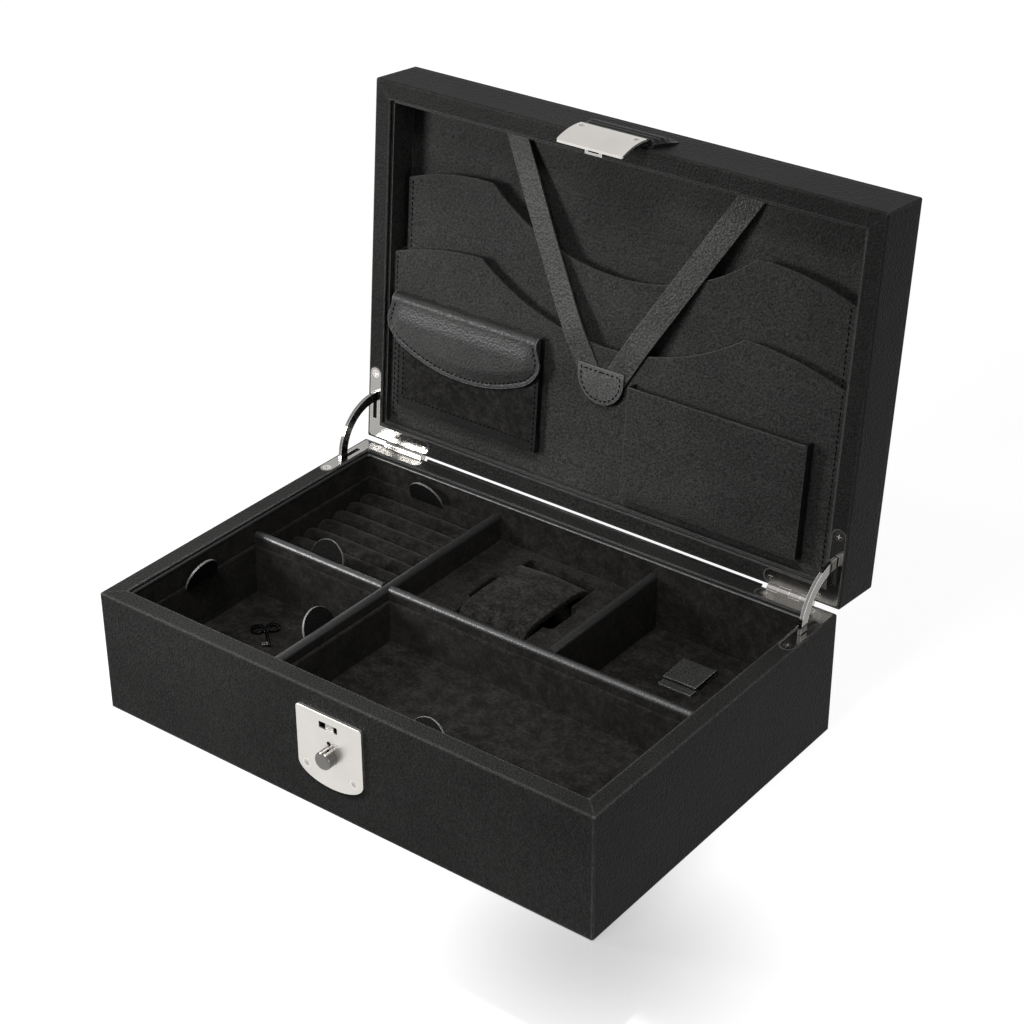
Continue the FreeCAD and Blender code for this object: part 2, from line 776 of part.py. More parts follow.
base_lining_outer = block("BaseLiningOuter", ("-inner_x", "inner_x"), ("-inner_y", "inner_y"),
                          ("board_top_z", "rim_z - liner_drop"))
base_lining_hollow = block("BaseLiningHollow", ("-liner_x", "liner_x"), ("-liner_y", "liner_y"),
                           ("floor_z", "rim_z + 1"))
node("base_lining", rounded(
    "BaseLiningRound", cut("BaseLining", base_lining_outer, base_lining_hollow), "liner/3",
    lambda edge: near(middle(edge).z, value("rim_z - liner_drop"))
    and max(abs(middle(edge).x) / value("liner_x"), abs(middle(edge).y) / value("liner_y")) < 1.001))

lid_lining_outer = block("LidLiningOuter", ("-inner_x", "inner_x"), ("-inner_y", "inner_y"),
                         ("lid_rim_z + liner_drop", "ceiling_z + liner"))
lid_lining_hollow = block("LidLiningHollow", ("-liner_x", "liner_x"), ("-liner_y", "liner_y"),
                          ("lid_rim_z - 1", "ceiling_z"))
lid_node("lid_lining", cut("LidLining", lid_lining_outer, lid_lining_hollow))
lid_node("lid_backing", block("LidBacking", ("-inner_x", "inner_x"), ("-inner_y", "inner_y"),
                              ("ceiling_z + liner", "lid_board_z")))

# Each divider runs between two ends; the long one along Y, the others meeting it or each other.
DIVIDERS = {
    "long_divider": ("y", "left_divider_x", ("-liner_y", "liner_y")),
    "left_divider": ("x", "cross_divider_y", ("-liner_x", "left_divider_x - divider_half")),
    "right_divider": ("x", "cross_divider_y", ("left_divider_x + divider_half", "liner_x")),
    "back_divider": ("y", "right_divider_x", ("cross_divider_y + divider_half", "liner_y")),
}
caps = []
for name, (axis, place, span) in DIVIDERS.items():
    across = (f"{place} - divider_half", f"{place} + divider_half")
    x, y = (across, span) if axis == "y" else (span, across)
    node(name, block(name + "Board", x, y, ("floor_z", "divider_top_z - divider_half")))
    offset = {"x": place} if axis == "y" else {"y": place}
    round_top = rod(name + "Rod", axis, "divider_half", span, z="divider_top_z - divider_half", **offset)
    upper = block(name + "Upper", x, y, ("divider_top_z - divider_half", "divider_top_z + 1"))
    caps.append(common(name + "Cap", round_top, upper))
node("divider_caps", *caps)

COMPARTMENTS = {
    "Ring": (("-liner_x", "left_divider_x - divider_half"), ("cross_divider_y + divider_half", "liner_y")),
    "Small": (("-liner_x", "left_divider_x - divider_half"),
              ("-liner_y", "cross_divider_y - divider_half")),
    "Large": (("left_divider_x + divider_half", "liner_x"), ("-liner_y", "cross_divider_y - divider_half")),
    "Panel": (("right_divider_x + divider_half", "liner_x"), ("cross_divider_y + divider_half", "liner_y")),
}
SUPPORT_TOPS = {
    "Ring": "ring_tray_floor_z - tray_floor",
    "Small": "small_tray_floor_z - tray_floor",
    "Large": "large_tray_floor_z - tray_floor",
    "Panel": "floor_panel_z - floor_panel_thick",
}
battens = []
for name, (x, y) in COMPARTMENTS.items():
    z = ("floor_z", f"{SUPPORT_TOPS[name]} - soft_gap")
    battens.append(block(name + "BattenLeft", (x[0], f"{x[0]} + batten_width"), y, z))
    battens.append(block(name + "BattenRight", (f"{x[1]} - batten_width", x[1]), y, z))
node("tray_supports", *battens)


# Trays and their tabs

def tray(name, floor_z):
    """An open tray that fills its compartment with a gap all round."""
    x, y = COMPARTMENTS[name]
    outside = [(f"{low} + tray_gap", f"{high} - tray_gap") for low, high in (x, y)]
    inside = [(f"{low} + tray_wall", f"{high} - tray_wall") for low, high in outside]
    body = cut(name + "TrayHollow",
               block(name + "TrayOuter", *outside, (f"{floor_z} - tray_floor", "tray_rim_z")),
               block(name + "TrayInner", *inside, (floor_z, "tray_rim_z + 1")))
    rim = value("tray_rim_z")
    return rounded(name + "Tray", body, "tray_round", lambda edge: near(middle(edge).z, rim))


TAB_TURN = {"x": 90, "-x": -90, "y": 180, "-y": 0}


def tray_tab(name, x, y, leans):
    """A half-round tab that stands on a tray wall and leans in over the tray."""
    reach = "(tab_top_z - tab_root_z)/cos(tab_lean*1deg)"
    outline = [
        ("-tab_radius", "0"), ("tab_radius", "0"), ("tab_radius", f"{reach} - tab_radius",
                                                    quarter("tab_radius")),
        ("0", reach, quarter("tab_radius")), ("-tab_radius", f"{reach} - tab_radius"),
    ]
    flat = pad(name + "Flat", "XZ", ("0", "tab_thick"), outline)
    leaning = group(name + "Leaning", flat)
    leaning.Placement = Placement(Vector(), Rotation(Vector(1, 0, 0), 0))
    bind(leaning, Placement__Rotation__Angle="-tab_lean")
    return placed(name, leaning, Rotation(Vector(0, 0, 1), TAB_TURN[leans]), x=x, y=y, z="tab_root_z")


ring_x, ring_y = COMPARTMENTS["Ring"]
small_x, small_y = COMPARTMENTS["Small"]
large_x, large_y = COMPARTMENTS["Large"]
ring_tabs = [tray_tab("RingFrontTab", "ring_tab_x", f"{ring_y[0]} + tray_gap", "-y"),
             tray_tab("RingBackTab", "ring_tab_x", f"{ring_y[1]} - tray_gap", "y")]
small_tabs = [tray_tab("SmallLeftTab", f"{small_x[0]} + tray_gap", "small_tab_y", "-x"),
              tray_tab("SmallRightTab", f"{small_x[1]} - tray_gap", "small_tab_y", "x")]
large_tabs = [tray_tab("LargeFrontTab", "large_tab_x", f"{large_y[0]} + tray_gap", "-y")]

node("ring_tray", cut("RingTrayCut", tray("Ring", "ring_tray_floor_z"), *ring_tabs))
node("ring_tray_tabs", *ring_tabs)
node("small_tray", cut("SmallTrayCut", tray("Small", "small_tray_floor_z"), *small_tabs))
node("small_tray_tabs", *small_tabs)
node("large_tray", cut("LargeTrayCut", tray("Large", "large_tray_floor_z"), *large_tabs))
node("large_tray_tab", *large_tabs)

roll_middle = f"(({ring_y[0]}) + ({ring_y[1]}))/2"
roll_span = (f"{ring_x[0]} + tray_gap + tray_wall + soft_gap",
             f"{ring_x[1]} - tray_gap - tray_wall - soft_gap")
rolls = []
for number in range(round(value("roll_count"))):
    roll_y = f"{roll_middle} + ({number} - (roll_count - 1)/2)*roll_pitch"
    bar = rod(f"RollBar{number}", "x", "roll_radius", roll_span, y=roll_y, z="roll_z")
    rolls.append(rounded(f"Roll{number}", bar, "roll_radius*0.6", lambda edge: len(edge.Vertexes) == 1))
node("ring_rolls", *rolls)

panel_x, panel_y = COMPARTMENTS["Panel"]
node("floor_panel", block("FloorPanel", (f"{panel_x[0]} + tray_gap", f"{panel_x[1]} - tray_gap"),
                          (f"{panel_y[0]} + tray_gap", f"{panel_y[1]} - tray_gap"),
                          ("floor_panel_z - floor_panel_thick", "floor_panel_z")))

# The pull loop is one strip of leather folded back over itself.
loop_inner = "loop_bend"
loop_outer = "(loop_bend + loop_leather)"
loop_low = "floor_panel_z"
node("pull_loop", pad("PullLoop", "YZ", ("loop_x - loop_width/2", "loop_x + loop_width/2"), [
    ("loop_front", loop_low),
    ("loop_back", loop_low, quarter(loop_outer)),
    (f"loop_back + {loop_outer}", f"{loop_low} + {loop_outer}", quarter(loop_outer)),
    ("loop_back", f"{loop_low} + 2*{loop_outer}"),
    ("loop_upper_front", f"{loop_low} + 2*{loop_outer}"),
    ("loop_upper_front", f"{loop_low} + 2*{loop_outer} - loop_leather"),
    ("loop_back", f"{loop_low} + 2*{loop_outer} - loop_leather", f"-{quarter(loop_inner)}"),
    (f"loop_back + {loop_inner}", f"{loop_low} + {loop_outer}", f"-{quarter(loop_inner)}"),
    ("loop_back", f"{loop_low} + loop_leather"),
    ("loop_front", f"{loop_low} + loop_leather"),
]))


# Watch insert, cuff and key

insert_block = block(
    "InsertBlock",
    ("left_divider_x + divider_half + soft_gap", "right_divider_x - divider_half - soft_gap"),
    ("cross_divider_y + divider_half + soft_gap", "liner_y - soft_gap"), ("floor_z", "insert_top_z"))
well = pad("Well", "XY", ("well_floor_z", "insert_top_z + 1"),
           soft_rectangle(("-well_half_width", "well_half_width"), ("well_front", "well_back"),
                          "well_corner"))
notches = pad("Notches", "XY", ("notch_floor_z", "insert_top_z + 1"), soft_rectangle(
    ("-well_half_width - notch_deep", "well_half_width + notch_deep"), ("notch_front",
                                                                        "notch_back"), "well_corner"))
node("watch_insert", rounded("WatchInsert", cut("InsertCut", insert_block, well, notches), "tray_round",
                             lambda edge: near(middle(edge).z, value("insert_top_z"))))

cuff_outer = rod("CuffOuter", "x", "cuff_radius", ("-cuff_half_width", "cuff_half_width"),
                 y="cuff_y", z="well_floor_z + cuff_tuck + soft_gap")
cuff_inner = rod("CuffInner", "x", "cuff_radius - cuff_thick",
                 ("-cuff_half_width - 1", "cuff_half_width + 1"),
                 y="cuff_y", z="well_floor_z + cuff_tuck + soft_gap")
cuff_below = block("CuffBelow", ("-box_width", "box_width"), ("-box_depth", "box_depth"),
                   ("-box_depth", "well_floor_z + soft_gap"))
node("watch_cuff", cut("CuffArch", cuff_outer, cuff_inner, cuff_below))

# The key lies along local X with its bow at the origin.
bow_ovals = []
for side, sign in (("Left", -1), ("Right", 1)):
    spot = f"({sign})*key_bow_wide"
    ring = rod(f"Bow{side}", "z", "key_bow_wide", ("-key_bow_thick/2", "key_bow_thick/2"), x="0", y=spot)
    hole = rod(f"BowHole{side}", "z", "key_bow_hole", ("-key_bow_thick", "key_bow_thick"), x="0", y=spot)
    bow_ovals.append(cut(f"BowOval{side}", ring, hole))
key_shaft = rod("KeyShaft", "x", "key_shaft", ("key_bow_hole", "key_length"), y="0", z="0")
key_collar = block("KeyCollar", ("-key_shaft", "key_bow_wide"), ("-key_shaft", "key_shaft"),
                   ("-key_bow_thick/2", "key_bow_thick/2"))
key_bit = block("KeyBit", ("key_length - key_bit", "key_length - 1"), ("-key_bit - key_shaft/2", "0"),
                ("-key_shaft*0.6", "key_shaft*0.6"))
key_flat = fuse("KeyFlat", *bow_ovals, key_shaft, key_collar, key_bit)
key = placed("KeyPlaced", key_flat, Rotation(Vector(0, 0, 1), value("key_turn")), x="key_x", y="key_y",
             z="small_tray_floor_z + key_shaft + key_gap")
node("key", bind(key, Placement__Rotation__Angle="key_turn"))


# Hinges

def knuckles(name, positions, tongue_z, bore):
    """Barrels of one leaf, each on a short tongue from the leaf's back edge."""
    parts = []
    for number in positions:
        low = f"barrel_start + {number}*knuckle_length + knuckle_gap/2"
        high = f"barrel_start + {number + 1}*knuckle_length - knuckle_gap/2"
        parts.append(rod(f"{name}Barrel{number}", "x", "barrel_radius", (low, high), y="pin_y", z="pin_z"))
        parts.append(block(f"{name}Tongue{number}", (low, high), ("leaf_back_y", "pin_y"), tongue_z))
    return parts, rod(name + "Bore", "x", bore, ("barrel_start - 1", "barrel_end + 1"), y="pin_y",
                      z="pin_z")


base_barrels, base_bore = knuckles("Base", (0, 2), ("rim_z - leaf_thick", "rim_z"), "pin_radius")
lid_barrels, lid_bore = knuckles("Lid", (1, 3), ("lid_rim_z", "lid_rim_z + leaf_thick"),
                                 "pin_radius + pin_fit")
base_leaf = cut("BaseLeaf", fuse("BaseLeafBody", leaf_plain, *base_barrels), base_bore, base_screw_holes)
lid_leaf = cut("LidLeaf", fuse("LidLeafBody", upside("LidLeafPlain", leaf_plain), *lid_barrels),
               lid_bore, lid_screw_holes)
node("base_hinge_leaf_right", base_leaf)
node("base_hinge_leaf_left", mirrored("BaseLeafLeft", base_leaf, (1, 0, 0)))
lid_node("lid_hinge_leaf_right", lid_leaf)
lid_node("lid_hinge_leaf_left", mirrored("LidLeafLeft", lid_leaf, (1, 0, 0)))
node("base_hinge_screws", *leaf_screws("BaseScrew", screw, FACING_UP, "rim_z"))
lid_node("lid_hinge_screws", *leaf_screws("LidScrew", screw, FACING_DOWN, "lid_rim_z"))
pin_right = rod("PinRight", "x", "pin_radius", ("barrel_start", "barrel_end"), y="pin_y", z="pin_z")
node("hinge_pins", pin_right, mirrored("PinLeft", pin_right, (1, 0, 0)))

arm_low, arm_high = "-arm_overrun", "lid_open_angle + arm_overrun"
arm_band = ring_sector("ArmBand", ("leaf_side_x - arm_thick/2", "leaf_side_x + arm_thick/2"),
                       ("arm_inner", "arm_outer"), arm_low, arm_high)
head_x = ("leaf_side_x - arm_head_width/2", "leaf_side_x + arm_head_width/2")
arm_heads = [ring_sector("ArmHeadLow", head_x, ("arm_inner", "arm_outer"), arm_low,
                         f"{arm_low} + arm_head_sweep"),
             ring_sector("ArmHeadHigh", head_x, ("arm_inner", "arm_outer"), f"{arm_high} - arm_head_sweep",
                         arm_high)]
arm_right = fuse("ArmRight", arm_band, *arm_heads)
node("quadrant_arm_right", arm_right)
node("quadrant_arm_left", mirrored("ArmLeft", arm_right, (1, 0, 0)))


# Lock

plate_body = pad("PlateBody", "XZ", ("plate_y", "-half_depth"), [
    ("-plate_half_width", "plate_shoulder_z"),
    ("plate_half_width", "plate_shoulder_z"),
    ("plate_half_width", "plate_top_z - plate_corner", quarter("plate_corner")),
    ("plate_half_width - plate_corner", "plate_top_z"),
    ("-plate_half_width + plate_corner", "plate_top_z", quarter("plate_corner")),
    ("-plate_half_width", "plate_top_z - plate_corner"),
])
plate_oval = bind(doc.addObject("Part::Ellipse", "PlateOval"), MajorRadius="plate_half_width",
                  MinorRadius="plate_drop")
plate_foot = doc.addObject("Part::Extrusion", "PlateFoot")
plate_foot.Base = plate_oval
plate_foot.DirMode = "Normal"
plate_foot.Solid = True
bind(plate_foot, LengthFwd="plate_thick")
plate_foot_set = placed("PlateFootSet", plate_foot, FACING_FRONT, y="-half_depth", z="plate_shoulder_z")
plate_front = value("plate_y")
plate_smooth = rounded("PlateSmooth", fuse("PlateWhole", plate_body, plate_foot_set), "plate_edge",
                       lambda edge: near(middle(edge).y, plate_front))
plate_relief = block("PlateRelief", ("-case_half_width + case_wall", "case_half_width - case_wall"),
                     ("plate_y + plate_skin", "-half_depth + 1"), ("case_low_z + case_wall",
                                                                   "case_high_z - case_wall"))
slot = pad("Slot", "XZ", ("plate_y - 1", "-half_depth + 1"),
           soft_rectangle(("-slot_half_width", "slot_half_width"), ("slot_low_z", "slot_high_z"),
                          "slot_corner"))
keyhole = rod("Keyhole", "y", "keyhole_radius", ("plate_y - 1", "-half_depth"), x="0", z="keyhole_z")
keyhole_neck = block("KeyholeNeck", ("-keyhole_neck", "keyhole_neck"), ("plate_y - 1", "-half_depth"),
                     ("keyhole_foot_z", "keyhole_z"))
button_hole = rod("ButtonHole", "y", "button_radius + button_fit", ("plate_y - 1", "-half_depth + 1"),
                  x="0", z="button_z")
node("lock_plate", cut("LockPlate", plate_smooth, plate_relief, slot, keyhole, keyhole_neck, button_hole,
                       lock_screw_holes))
node("lock_screws", *[
    placed(f"LockScrew{side}", screw, FACING_FRONT, x=f"({sign})*lock_screw_x", y="plate_y",
           z="lock_screw_z")
    for side, sign in (("Left", -1), ("Right", 1))])

case_outer = block("CaseOuter", ("-case_half_width", "case_half_width"), ("-half_depth", "case_back_y"),
                   ("case_low_z", "case_high_z"))
case_hollow = block("CaseHollow", ("-case_half_width + case_wall", "case_half_width - case_wall"),
                    ("-half_depth - 1", "case_back_y - case_wall"),
                    ("case_low_z + case_wall", "case_high_z - case_wall"))
node("lock_case", cut("LockCase", case_outer, case_hollow))

button_bar = rod("ButtonBar", "y", "button_radius",
                 ("plate_y - button_proud", "plate_y - button_proud + button_deep"),
                 x="0", z="button_z")
button_smooth = rounded("ButtonSmooth", button_bar, "button_edge",
                        lambda edge: len(edge.Vertexes) == 1 and middle(edge).y < value("plate_y"))
button_flange = rod("ButtonFlange", "y", "button_flange", ("catch_y", "catch_y + button_flange_thick"),
                    x="0", z="button_z")
node("lock_button", fuse("LockButton", button_smooth, button_flange))

catch_back = "catch_y + tongue_thick"
catch_parts = [
    block("CatchTongue", ("-tongue_half_width", "tongue_half_width"), ("catch_y", catch_back),
          ("catch_bar_z", "tongue_top_z")),
    block("CatchBar", ("-catch_half_width", "catch_half_width"), ("catch_y", catch_back),
          ("catch_bar_z", "catch_bar_z + catch_bar_high")),
]
spring_x = "catch_half_width - catch_leg/2"
spring_y = "catch_y + catch_foot_deep - spring_radius"
springs = []
for side, sign in (("Left", -1), ("Right", 1)):
    low, high = sorted((f"({sign})*catch_half_width", f"({sign})*(catch_half_width - catch_leg)"),
                       key=value)
    catch_parts.append(block(f"CatchLeg{side}", (low, high), ("catch_y", catch_back),
                             ("catch_foot_z", "catch_bar_z")))
    catch_parts.append(block(f"CatchFoot{side}", (low, high), ("catch_y", "catch_y + catch_foot_deep"),
                             ("catch_foot_z", "catch_foot_z + tongue_thick")))
    spring_z = ("case_low_z + case_wall + catch_gap", "catch_foot_z - catch_gap")
    sleeve = rod(f"Spring{side}Outer", "z", "spring_radius", spring_z, x=f"({sign})*({spring_x})",
                 y=spring_y)
    bore = rod(f"Spring{side}Bore", "z", "spring_radius - spring_wire", ("case_low_z", "catch_foot_z + 1"),
               x=f"({sign})*({spring_x})", y=spring_y)
    springs.append(cut(f"Spring{side}", sleeve, bore))
node("lock_catch", fuse("LockCatch", *catch_parts))
node("catch_springs", *springs)


# Hasp, drawn latched and then hung at rest

def hasp_point(down, inward):
    """A point down the hasp's chord from its back edge, and inward from it."""
    return (f"hasp_back_y + ({down})*sin(hasp_tilt) + ({inward})*cos(hasp_tilt)",
            f"hasp_back_z - ({down})*cos(hasp_tilt) + ({inward})*sin(hasp_tilt)")


def hung(name, *parts):
    """A hasp piece swung in to its resting angle, and opened with the lid."""
    inner = turned(name + "Hung", parts, "hasp_rest_angle", "hasp_pivot_y", "hasp_pivot_z")
    return lid_node(name, inner)


hasp_profile = [
    hasp_point("0", "hasp_thick"),
    (*hasp_point("0", "0"), "hasp_bow"),
    hasp_point("hasp_length", "0"),
    (*hasp_point("hasp_length", "hasp_thick"), "-hasp_bow"),
]
hasp_bent = pad("HaspBent", "YZ", ("-hasp_half_width", "hasp_half_width"), hasp_profile)
hasp_face = pad("HaspFace", "XZ", ("-half_depth - hasp_length", "-half_depth"), soft_rectangle(
    ("-hasp_half_width", "hasp_half_width"), ("hasp_back_z - hasp_length - hasp_trim",
                                              "hasp_back_z + 1"), "hasp_corner"))
hasp_whole = common("HaspWhole", hasp_bent, hasp_face)
hasp_screw_y = "hasp_back_y - hasp_screw_out"
hasp_screw_z = "hasp_back_z - hasp_screw_drop"
hasp_screw_length = "(screw_length/2)"


def hasp_screws(name, source):
    return [placed(f"{name}{side}", source, FACING_FRONT, x=f"({sign})*hasp_screw_x", y=hasp_screw_y,
                   z=hasp_screw_z)
            for side, sign in (("Left", -1), ("Right", 1))]


short_zone = block("ShortZone", ("-10", "10"), ("-10", "10"), (f"-{hasp_screw_length}", "1"))
short_blank = common("ShortBlank", screw_blank, short_zone)
short_screw = common("ShortScrew", screw, short_zone)
hasp_holes = group("HaspHoles", *hasp_screws("HaspHole", short_blank))
hung("hasp_plate", cut("HaspPlate", hasp_whole, hasp_holes))
hung("hasp_screws", *hasp_screws("HaspScrew", short_screw))

staple_z = ("staple_z - staple_thick/2", "staple_z + staple_thick/2")
staple_tip = "-half_depth + staple_tip_in"
staple_blank = block("StapleBlank", ("-staple_half_width", "staple_half_width"),
                     ("plate_y - hasp_clear - hasp_thick - staple_root", staple_tip), staple_z)
staple_window = block("StapleWindow", ("-staple_window", "staple_window"),
                      ("plate_y - hasp_clear - staple_foot", f"{staple_tip} - staple_bar"),
                      ("staple_z - staple_thick", "staple_z + staple_thick"))
hung("hasp_staple", cut("HaspStaple", staple_blank, staple_window, hasp_bent))

backing_top = "hasp_back_z - backing_drop"
backing_in = "plate_y - backing_in_gap"
hung("strap_backing", cut("StrapBacking", pad(
    "BackingPad", "YZ", ("-strap_backing_half", "strap_backing_half"), [
        ("hasp_back_y + hasp_thick + backing_gap", backing_top),
        ("hasp_back_y + hasp_thick + backing_gap", f"{backing_top} - strap_backing_high"),
        (backing_in, f"{backing_top} - strap_backing_high"),
        (backing_in, backing_top),
    ]), hasp_bent, hasp_holes))

knuckle = rod("StrapKnuckle", "x", "strap_knuckle", ("-hasp_half_width", "hasp_half_width"),
              y="hasp_pivot_y", z="hasp_pivot_z")
lid_node("strap_knuckle", knuckle)
knuckle_room = rod("KnuckleRoom", "x", "strap_knuckle + soft_gap", ("-box_width", "box_width"),
                   y="hasp_pivot_y", z="hasp_pivot_z")
strap_top = "lid_rim_z + strap_top_up"
strap_low = "hasp_pivot_z + strap_low_gap"
strap_body = pad("StrapBody", "YZ", ("-strap_half_width", "strap_half_width"), [
    ("-half_depth", strap_low),
    ("-half_depth", strap_top),
    ("-half_depth - strap_edge", strap_top, "-strap_bow"),
    ("-half_depth - strap_out", f"{strap_top} - strap_shoulder"),
    ("-half_depth - strap_out", strap_low),
])
lid_node("hasp_strap", cut("HaspStrap", strap_body, knuckle_room))


# Lid pockets, straps and pouch

def pocket_panel(name, half, z, centre_y, peak_x, peak_y, side_y, side_bow, back_y):
    """A panel with a curved mouth that rises to a peak each side of the middle, and turned-up sides."""
    drop = f"(({centre_y}) - ({peak_y}))"
    curve = f"(({peak_x}^2 + {drop}^2)/(2*{drop}))"
    half_bow = f"({curve} - sqrt({curve}^2 - ({peak_x}^2 + {drop}^2)/4))"
    face = pad(name + "Face", "XY", (z, f"{z} + panel_thick"), [
        (half, back_y), (f"-({half})", back_y), (f"-({half})", side_y, side_bow),
        (f"-({peak_x})", peak_y, f"-{half_bow}"), ("0", centre_y, f"-{half_bow}"),
        (peak_x, peak_y, side_bow), (half, side_y),
    ])
    depth = (f"{z} + panel_thick/2", "ceiling_z")
    sides = [block(f"{name}Side{side}", x, (side_y, back_y), depth) for side, x in (
        ("Left", (f"-({half})", f"-({half}) + panel_thick")), ("Right", (f"({half}) - panel_thick", half)))]
    foot = block(name + "Foot", (f"-({half})", half), (f"{back_y} - panel_thick", back_y), depth)
    return face, sides, foot


rear_face, rear_sides, rear_foot = pocket_panel(
    "RearPanel", "rear_panel_half", "rear_panel_z", "rear_centre_y", "rear_peak_x", "rear_peak_y",
    "rear_side_y", "rear_side_bow", "(liner_y - rear_panel_gap)")
lid_node("rear_pocket_panel", fuse("RearPanel", rear_face, *rear_sides, rear_foot))
front_face, front_sides, front_foot = pocket_panel(
    "FrontPanel", "(liner_x - front_panel_gap)", "front_panel_z", "front_centre_y", "front_peak_x",
    "front_peak_y", "front_side_y", "front_side_bow", "(liner_y - front_panel_gap)")
front_behind = block("FrontBehind", ("-box_width", "box_width"),
                     ("-box_depth", "liner_y - rear_panel_gap + panel_clear"),
                     ("rear_panel_z - panel_clear", "lid_top_z"))
lid_node("front_pocket_panel",
         cut("FrontPanel", fuse("FrontPanelWhole", front_face, *front_sides, front_foot),
                                   front_behind))

# Each strap runs along local X from the lid's front edge, over both panels, to under the round tab.
ribbon_run = "sqrt((ribbon_start_x - ribbon_end_x)^2 + (ribbon_end_y - ribbon_start_y)^2)"


def along(y):
    """How far along the strap a place in the lid lies."""
    return f"{ribbon_run}*(({y}) - ribbon_start_y)/(ribbon_end_y - ribbon_start_y)"


over_rear = "rear_panel_z - ribbon_thick - ribbon_rear_gap"
over_front = "front_panel_z - ribbon_thick - ribbon_front_gap"
under_tab = "front_panel_z - ribbon_thick"
ribbon_line = [
    ("0", "ceiling_z - ribbon_thick"), (along("ribbon_start_y + ribbon_dip_run"),
                                        "ceiling_z - ribbon_thick - ribbon_dip"),
    (along("ribbon_rear_y"), over_rear), (along("ribbon_front_y"), over_front),
    (along("tab_front_y - ribbon_width/3"), under_tab), (ribbon_run, under_tab),
]
ribbon_flat = pad("RibbonFlat", "XZ", ("-ribbon_width/2", "ribbon_width/2"),
                  ribbon_line + [(x, f"{z} + ribbon_thick") for x, z in reversed(ribbon_line)])
ribbon_angle = "atan2(ribbon_end_y - ribbon_start_y; ribbon_end_x - ribbon_start_x)"
ribbon = placed("Ribbon", ribbon_flat, Rotation(Vector(0, 0, 1), value(ribbon_angle)),
                x="ribbon_start_x", y="ribbon_start_y")
bind(ribbon, Placement__Rotation__Angle=ribbon_angle)
lid_node("lid_strap_right", ribbon)
lid_node("lid_strap_left", mirrored("RibbonLeft", ribbon, (1, 0, 0)))

tab_low = "front_panel_z - 2*ribbon_thick"
lid_node("strap_tab", pad("StrapTab", "XY", (tab_low, f"{tab_low} + ribbon_thick"), [
    ("-tab_half_width", "tab_front_y"), ("tab_half_width", "tab_front_y"),
    ("tab_half_width", "tab_back_y - tab_half_width", quarter("tab_half_width")),
    ("0", "tab_back_y", quarter("tab_half_width")), ("-tab_half_width", "tab_back_y - tab_half_width"),
]))


def patch_pocket(name, x, y, out, wall):
    """A deep pocket sewn on the front panel, open along its front edge."""
    top = f"front_panel_z - {out}"
    outer = block(name + "Outer", x, y, (top, "front_panel_z"))
    inner = block(name + "Inner", (f"{x[0]} + {wall}", f"{x[1]} - {wall}"),
                  (f"{y[0]} - 1", f"{y[1]} - {wall}"),
                  (f"{top} + {wall}", "front_panel_z + 1"))
    face = value(top)
    return rounded(name, cut(name + "Hollow", outer, inner), "pocket_edge",
                   lambda edge: near(middle(edge).z, face) and middle(edge).y > value(y[0]) + 1)


lid_node("pouch_body",
         patch_pocket("PouchBody", ("pouch_left", "pouch_right"), ("pouch_front", "pouch_back"),
                                    "pouch_out", "pouch_wall"))
lid_node("box_pocket",
         patch_pocket("BoxPocket", ("pocket_left", "pocket_right"), ("pocket_front", "pocket_back"),
                                    "pocket_out", "pocket_wall"))

flap_high = "front_panel_z - pouch_out - flap_gap"
flap_middle = "(flap_left + flap_right)/2"
flap_drop = "(flap_tip_y - flap_side_y)"
flap_curve = f"(((flap_right - flap_left)^2/4 + {flap_drop}^2)/(2*{flap_drop}))"
flap_bow = f"({flap_curve} - sqrt({flap_curve}^2 - ((flap_right - flap_left)^2/4 + {flap_drop}^2)/4))"
fold_y = "pouch_front - flap_gap"
flap_face = pad("FlapFace", "XY", (f"{flap_high} - flap_thick", flap_high), [
    ("flap_left", f"{fold_y} - flap_thick"), ("flap_right", f"{fold_y} - flap_thick"),
    ("flap_right", "flap_side_y", flap_bow), (flap_middle, "flap_tip_y", flap_bow),
    ("flap_left", "flap_side_y"),
])
flap_fold = block("FlapFold", ("flap_left", "flap_right"), (f"{fold_y} - flap_thick", fold_y),
                  (f"{flap_high} - flap_thick", "front_panel_z - flap_gap"))
lid_node("pouch_flap", rounded(
    "PouchFlap", fuse("FlapWhole", flap_face, flap_fold), "flap_thick*0.7",
    lambda edge: near(middle(edge).z, value(f"{flap_high} - flap_thick"))
    and near(middle(edge).y, value(f"{fold_y} - flap_thick"))))


# Checks and export

doc.recompute()
for item in doc.Objects:
    if "Invalid" in item.State or "Error" in item.State:
        raise RuntimeError(f"{item.Name} did not recompute: {item.State}")
os.makedirs("parts", exist_ok=True)
for item in nodes:
    shape = item.Shape
    if shape.isNull() or not shape.isValid():
        raise RuntimeError(f"{item.Label} has no valid shape")
    if not shape.Solids:
        raise RuntimeError(f"{item.Label} has no solid")
for item in nodes:
    item.Shape.exportStep(f"parts/{item.Label}.step")
    box = item.Shape.BoundBox
    print(f"{item.Label}: {len(item.Shape.Solids)} solids, {item.Shape.Volume:.0f} mm3, "
          f"z {box.ZMin:.2f} to {box.ZMax:.2f}")
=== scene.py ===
import json
import math

import bmesh
import bpy
from mathutils import Euler, Matrix, Vector, noise
from mathutils.bvhtree import BVHTree


